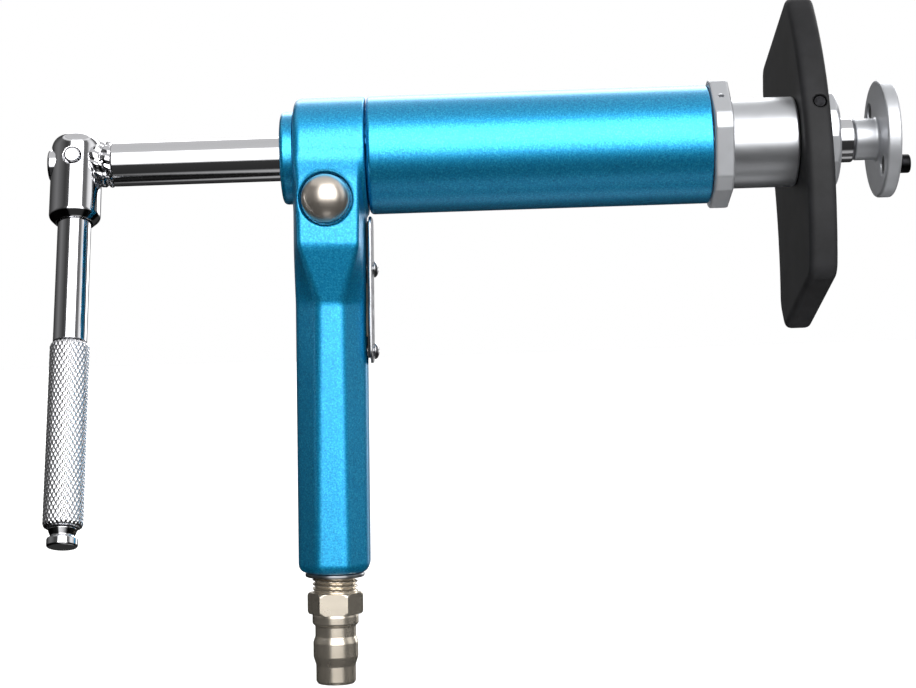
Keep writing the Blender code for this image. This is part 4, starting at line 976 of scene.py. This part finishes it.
# %% Arm and cross pin
on_crank = {"along": "z", "at": (HEAD_X, 0, 0), "lean": CRANK_LEAN}
ARM_RADIUS, ARM_CORE, GRIP_RADIUS = 4.75, 3.5, 5.5
ARM_TOP, SLEEVE_TOP, SLEEVE_END = -6.4, -55.1, -108.3
turned_piece("crank_arm", [
    (SLEEVE_END, 0), (SLEEVE_END, ARM_CORE, 0.2), (SLEEVE_TOP + GAP, ARM_CORE, 0.1),
    (SLEEVE_TOP + GAP, ARM_RADIUS, 0.2), (ARM_TOP, ARM_RADIUS, 0.2), (ARM_TOP, 0),
], chrome, **on_crank)
PIN_END, PIN_RADIUS = HEAD_RADIUS + 0.5, 2.25
turned_piece("crank_cross_pin", [
    (-PIN_END, 0), (-PIN_END, PIN_RADIUS, 0.5), (PIN_END, PIN_RADIUS, 0.5), (PIN_END, 0),
], chrome, sides=48, along="y", at=(HEAD_X, 0, 0), lean=CRANK_LEAN)

# %% Knurled grip
KNURL_COUNT, KNURL_SAMPLES = 26, 10  # diamonds round the grip, points across one
KNURL_LEAD, KNURL_DEPTH = 2.3, 0.32  # from one diamond to the next along the grip, and deep
KNURL_END = 1.2  # rounding of the grip's ends


def triangle(x):
    """Triangle wave between 0 and 1 with period 1."""
    return np.abs(2 * (x % 1) - 1)


def build_knurl():
    """Radius = GRIP_RADIUS - KNURL_DEPTH (1 - height of the diamond) - rounding of the ends."""
    sides = KNURL_COUNT * KNURL_SAMPLES
    length = SLEEVE_TOP - SLEEVE_END
    rows = int(length / KNURL_LEAD * KNURL_SAMPLES)
    round_it = KNURL_COUNT * np.arange(sides) / sides
    along = np.linspace(SLEEVE_END, SLEEVE_TOP, rows)[:, None]
    turns = along / KNURL_LEAD
    height = np.minimum(triangle(round_it + turns), triangle(round_it - turns))
    height = np.minimum(height * 1.5, 1.0)
    from_end = np.minimum(along - SLEEVE_END, SLEEVE_TOP - along)
    into_end = np.clip(KNURL_END - from_end, 0, None)
    end_round = KNURL_END - np.sqrt(np.clip(KNURL_END ** 2 - into_end ** 2, 0, None))
    radius = GRIP_RADIUS - KNURL_DEPTH * (1 - height) - end_round * 0.9
    points, faces = bored(along, radius, ARM_CORE + GAP)
    return piece("crank_grip", placed(points, **on_crank), faces, knurl_chrome)


knurl_chrome = build_turned_metal("knurled_satin_chrome", "#D9D9DC", 0.22, "Z", 0.001)
build_knurl()

# %% End button
BUTTON_TOP, BUTTON_NECK, BUTTON_END, END_BUTTON_RADIUS = SLEEVE_END - GAP, 2.6, 2.4, 4.25
button_flange = BUTTON_TOP - BUTTON_NECK
turned_piece("crank_end_button", [
    (button_flange - BUTTON_END, 0), (button_flange - BUTTON_END, END_BUTTON_RADIUS, 0.6),
    (button_flange, END_BUTTON_RADIUS, 0.5), (button_flange + 0.4, 3.2, 0.4),
    (BUTTON_TOP, 4.05, 0.2), (BUTTON_TOP, 0),
], chrome, sides=72, **on_crank)

# %% [markdown]
# ## Adapter
# A turned disc on a neck, held on the drive square by a magnet. Two pins in it fit the slots
# of a caliper piston.

# %% Adapter disc and pins
disc_low, disc_high = span("adapter_disc")
DISC_RADIUS, NECK_RADIUS, DISC_WIDTH = 17.0, 6.0, 4.2
disc_rear = disc_high[0] - DISC_WIDTH
PIN_CIRCLE, DRIVE_PIN_RADIUS, PIN_TURN = 11.0, 2.7, radians(67)
pin_v, pin_u = PIN_CIRCLE * cos(PIN_TURN), PIN_CIRCLE * sin(PIN_TURN)
MAGNET_HOLE, MAGNET_DEPTH = 2.8, 2.6
pin_low, pin_high = span("drive_pin_far")


def disc_distance(x, y, z):
    """Disc and neck with a fillet between them, less pin holes, drive socket and magnet."""
    v, u = to_lean(y, z, CRANK_LEAN)
    radial = np.hypot(v, u)
    disc = cylinder(x, radial, disc_rear, disc_high[0], DISC_RADIUS, 0.9)
    neck = cylinder(x, radial, disc_low[0], disc_rear + 1, NECK_RADIUS, 0.6)
    both = soft_min(disc, neck, 0.8)
    for side in (1, -1):
        off_pin = np.hypot(v - side * pin_v, u - side * pin_u)
        both = cut(both, (off_pin - (DRIVE_PIN_RADIUS + GAP), 0.5))
    half = DRIVE_SQUARE / 2 + GAP
    socket_end = rod_high[0] + GAP
    socket = np.maximum(np.maximum(np.abs(v), np.abs(u)) - half, x - socket_end)
    magnet = cylinder(x, radial, socket_end - 1, socket_end + MAGNET_DEPTH, MAGNET_HOLE, 0.1)
    return cut(both, (socket, 0.3), (magnet, 0.2))


skinned_piece("adapter_disc", disc_distance, satin_aluminium, 0.4)
for node, side in (("drive_pin_far", 1), ("drive_pin_near", -1)):
    turned_piece(node, [
        (pin_low[0], 0), (pin_low[0], DRIVE_PIN_RADIUS, 0.3),
        (pin_high[0], DRIVE_PIN_RADIUS, 0.6), (pin_high[0], 0),
    ], black_steel, sides=48, at=(0, side * pin_v, side * pin_u), lean=CRANK_LEAN)

# %% [markdown]
# ## Valve buttons
# A ball-like nickel dome on each end of the spool, sunk in a round recess.

# %% Valve buttons
DOME_RADIUS, DOME_HEIGHT, DOME_SIDE, DOME_BEVEL = 6.8, 5.4, 2.4, 0.3


def build_button(node, way):
    """A short side, then a quarter ellipse: DOME_HEIGHT sin q along, DOME_RADIUS cos q out."""
    low, high = span(node)
    back = high[1] if way < 0 else low[1]
    quarter = np.linspace(0, pi / 2, 28)
    profile = np.concatenate((
        [(0, 0), (0, DOME_RADIUS - DOME_BEVEL), (DOME_BEVEL, DOME_RADIUS)],
        np.stack((DOME_SIDE + DOME_HEIGHT * np.sin(quarter), DOME_RADIUS * np.cos(quarter)), -1),
    ))
    sides = 96
    points, faces, _ = close_poles(revolve(profile[:, :1], profile[:, 1:], sides),
                                   grid_faces(len(profile), sides, False), None, sides)
    points[:, 0] = back + way * points[:, 0]
    if way < 0:
        faces = faces[:, ::-1]
    points = placed(points, along="y", at=(VALVE_AXIS[0], 0, VALVE_AXIS[1]))
    return piece(node, points, faces, button_nickel)


build_button("valve_button_near", -1)
build_button("valve_button_far", 1)

# %% [markdown]
# ## Cover plate and its screws
# A thin plate with three exhaust vents, on the front side of the grip, and two pan head
# screws with a cross recess.

# %% Cover plate and screws
COVER_IN, COVER_OUT = 10.9, 11.8
COVER_TOP, COVER_BOTTOM, COVER_HALF = -17.6, -59.8, 8.0
VENT_MIDDLE, VENT_PITCH, VENT_RADIUS = -44.45, 4.5, 1.4
SCREW_CLEARANCE = 1.8


def cover_distance(x, y, z):
    """A rectangle with round corners between two faces, less three vents and two holes."""
    gx, gz = to_grip(x, z)
    sheet = soft_max(np.abs(y) - COVER_HALF, slab(gz, COVER_BOTTOM, COVER_TOP), 4.0)
    sheet = soft_max(sheet, slab(gx, COVER_IN, COVER_OUT), 0.35)
    holes = [(VENT_MIDDLE + step * VENT_PITCH, VENT_RADIUS) for step in (-1, 0, 1)]
    holes += [(z_screw, SCREW_CLEARANCE) for z_screw in COVER_SCREW_Z.values()]
    return cut(sheet, *((np.hypot(y, gz - height) - radius, 0.2) for height, radius in holes))


skinned_piece("cover_plate", cover_distance, steel, 0.3)


SHANK_END, SHANK_RADIUS = 5.6, 1.5
PAN_RADIUS, PAN_HEIGHT = 2.5, 1.4
CROSS_HALF, CROSS_REACH, CROSS_FLOOR = 0.28, 1.4, 0.5


def screw_distance_at(z_screw):
    def distance(x, y, z):
        """A shank and an elliptic head; a cross is cut where either bar of it reaches."""
        gx, gz = to_grip(x, z)
        up = gz - z_screw
        radial = np.hypot(y, up)
        under = COVER_OUT + GAP
        shank = cylinder(gx, radial, SHANK_END, under + 0.4, SHANK_RADIUS, 0.3)
        dome = np.hypot((gx - under) * PAN_RADIUS / PAN_HEIGHT, radial) - PAN_RADIUS
        head = soft_max(dome * 0.6, under - gx, 0.3)
        arm = np.maximum(np.minimum(np.abs(y), np.abs(up)) - CROSS_HALF,
                         np.maximum(np.abs(y), np.abs(up)) - CROSS_REACH)
        cross = np.maximum(arm, under + CROSS_FLOOR - gx)
        return cut(np.minimum(head, shank), (cross, 0.15))
    return distance


for node, z_screw in COVER_SCREW_Z.items():
    skinned_piece(node, screw_distance_at(z_screw), steel, 0.145)

# %% [markdown]
# ## Air plug
# A nickel plated coupler plug: pipe thread into the grip, hexagon, collar, neck, bulb and
# tip. One grid makes it all: the thread adds a helical wave to the radius, and over the
# hexagon the radius is flats / 2 / cos(angle from the flat's middle).

# %% Air plug
on_grip = {"along": "z", "at": (GRIP_CENTRE_X, 0, 0), "lean": GRIP_RAKE, "lean_axis": "y"}
THREAD_PITCH, THREAD_DEPTH, THREAD_RADIUS = 1.34, 0.8, 6.58
PLUG_BORE = 3.2
HEX_TOP, HEX_BOTTOM, HEX_FLATS = -126.1, -132.3, 14.0
HEX_EDGE, HEX_STRAIGHT = 0.75, 2.1  # turned-off corner, and half the height left straight
PLUG_TOP, PLUG_BOTTOM = GRIP_BOTTOM + 9.0, HEX_BOTTOM - 20.08
PLUG_PROFILE = (
    (PLUG_BOTTOM, 5.2), (PLUG_BOTTOM + 0.6, 5.75), (-147.0, 5.75), (-144.6, 6.5), (-140.4, 6.5),
    (-139.0, 6.05), (-138.9, 5.9), (-135.6, 5.9), (-135.5, 6.2), (-135.0, 6.7), (-132.8, 6.7),
    (-132.4, 6.6), (HEX_BOTTOM, THREAD_RADIUS), (HEX_TOP, THREAD_RADIUS), (PLUG_TOP, THREAD_RADIUS),
)


def build_plug():
    """Radius by height is PLUG_PROFILE with soft kinks, but for the hexagon and the thread."""
    rows, sides = 620, 120
    along = np.linspace(PLUG_BOTTOM, PLUG_TOP, rows)[:, None]
    places, radii = zip(*PLUG_PROFILE)
    smooth = sum(np.interp(along + s, places, radii) for s in (-0.24, -0.12, 0, 0.12, 0.24)) / 5
    angle = np.arange(sides) * 2 * pi / sides
    off = (angle + pi / 6) % (pi / 3) - pi / 6
    corner = HEX_FLATS / 2 / cos(pi / 6)
    flats = HEX_FLATS / 2 / np.cos(off)
    past_straight = np.abs(along - (HEX_TOP + HEX_BOTTOM) / 2) - HEX_STRAIGHT
    turned_edge = corner - HEX_EDGE + HEX_EDGE * np.sqrt(1 - past_straight.clip(0, 1) ** 2)
    in_hex = (along < HEX_TOP) & (along > HEX_BOTTOM)
    wave = triangle(along / THREAD_PITCH - angle / (2 * pi))
    shape = np.clip(wave * 1.25 - 0.12, 0, 1)
    fade = np.clip((along - HEX_TOP) / 0.8, 0, 1) * np.clip(PLUG_TOP - along, 0.3, 1)
    radius = smooth - THREAD_DEPTH * (1 - shape) * fade
    radius = np.where(in_hex, np.minimum(flats, turned_edge), radius * np.ones_like(angle))
    points, faces = bored(along, radius, PLUG_BORE)
    made = piece("air_plug", placed(points, **on_grip), faces, nickel)
    made.data.set_sharp_from_angle(angle=radians(35))
    return made


build_plug()

# %% Sealing washer under the grip
WASHER_LOW, WASHER_HIGH = GRIP_BOTTOM - 1.5, GRIP_BOTTOM - 0.3
WASHER_BORE, WASHER_RADIUS = 6.88, 8.58
turned_piece("plug_seal_washer", [
    (WASHER_LOW, WASHER_BORE, 0.1), (WASHER_LOW, WASHER_RADIUS, 0.4),
    (WASHER_HIGH, WASHER_RADIUS, 0.4), (WASHER_HIGH, WASHER_BORE, 0.1),
], steel, **on_grip)

# %% [markdown]
# ## Return spring
# A wire circle carried along a helix. The piston presses the spring together, which a rigid
# body can't do; here the spring is built at its packed length, with a mesh of its own.

# %% Return spring
SPRING_WIRE, SPRING_TURNS = 0.9, 6


def build_spring():
    """Centre (x(t), R cos a, R sin a) with a = 2 pi turns t, plus a circle round it."""
    low, high = span("return_spring")
    rows, sides = 480, 20
    share = np.linspace(0, 1, rows)[:, None]
    turn = 2 * pi * SPRING_TURNS * share
    around = np.arange(sides) * 2 * pi / sides
    wire = np.full((rows, 1), SPRING_WIRE)
    wire[[0, -1]] = 0
    first, last = low[0] + SPRING_WIRE, high[0] - SPRING_WIRE
    along = first + (last - first) * share - wire * np.cos(around)
    radius = (high[2] - low[2]) / 2 - SPRING_WIRE + wire * np.sin(around)
    points = np.stack((along, radius * np.cos(turn), radius * np.sin(turn)), -1).reshape(-1, 3)
    points, faces, _ = close_poles(points, grid_faces(rows, sides, False), None, sides)
    made = piece("return_spring", points, faces, steel)
    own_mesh(made)


build_spring()

# %% [markdown]
# ## Inner pieces
# Piston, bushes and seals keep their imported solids. Each gets the finish of its slot, so the
# tool can be shown open.

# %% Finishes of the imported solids
FINISH_OF_SLOT = {
    "blue_paint": enamel, "chrome": chrome, "satin_aluminium": aluminium, "nickel": nickel,
    "black_coating": black_coat, "black_steel": black_steel, "steel": steel, "bronze": bronze,
    "rubber": rubber, "acetal": acetal, "felt": felt, "ferrite": ferrite,
}
for name, node in frame["nodes"].items():
    node.data.materials.clear()
    node.data.materials.append(FINISH_OF_SLOT[slot_of_node[name]])
print("packed solids finished:", len(frame["nodes"]))
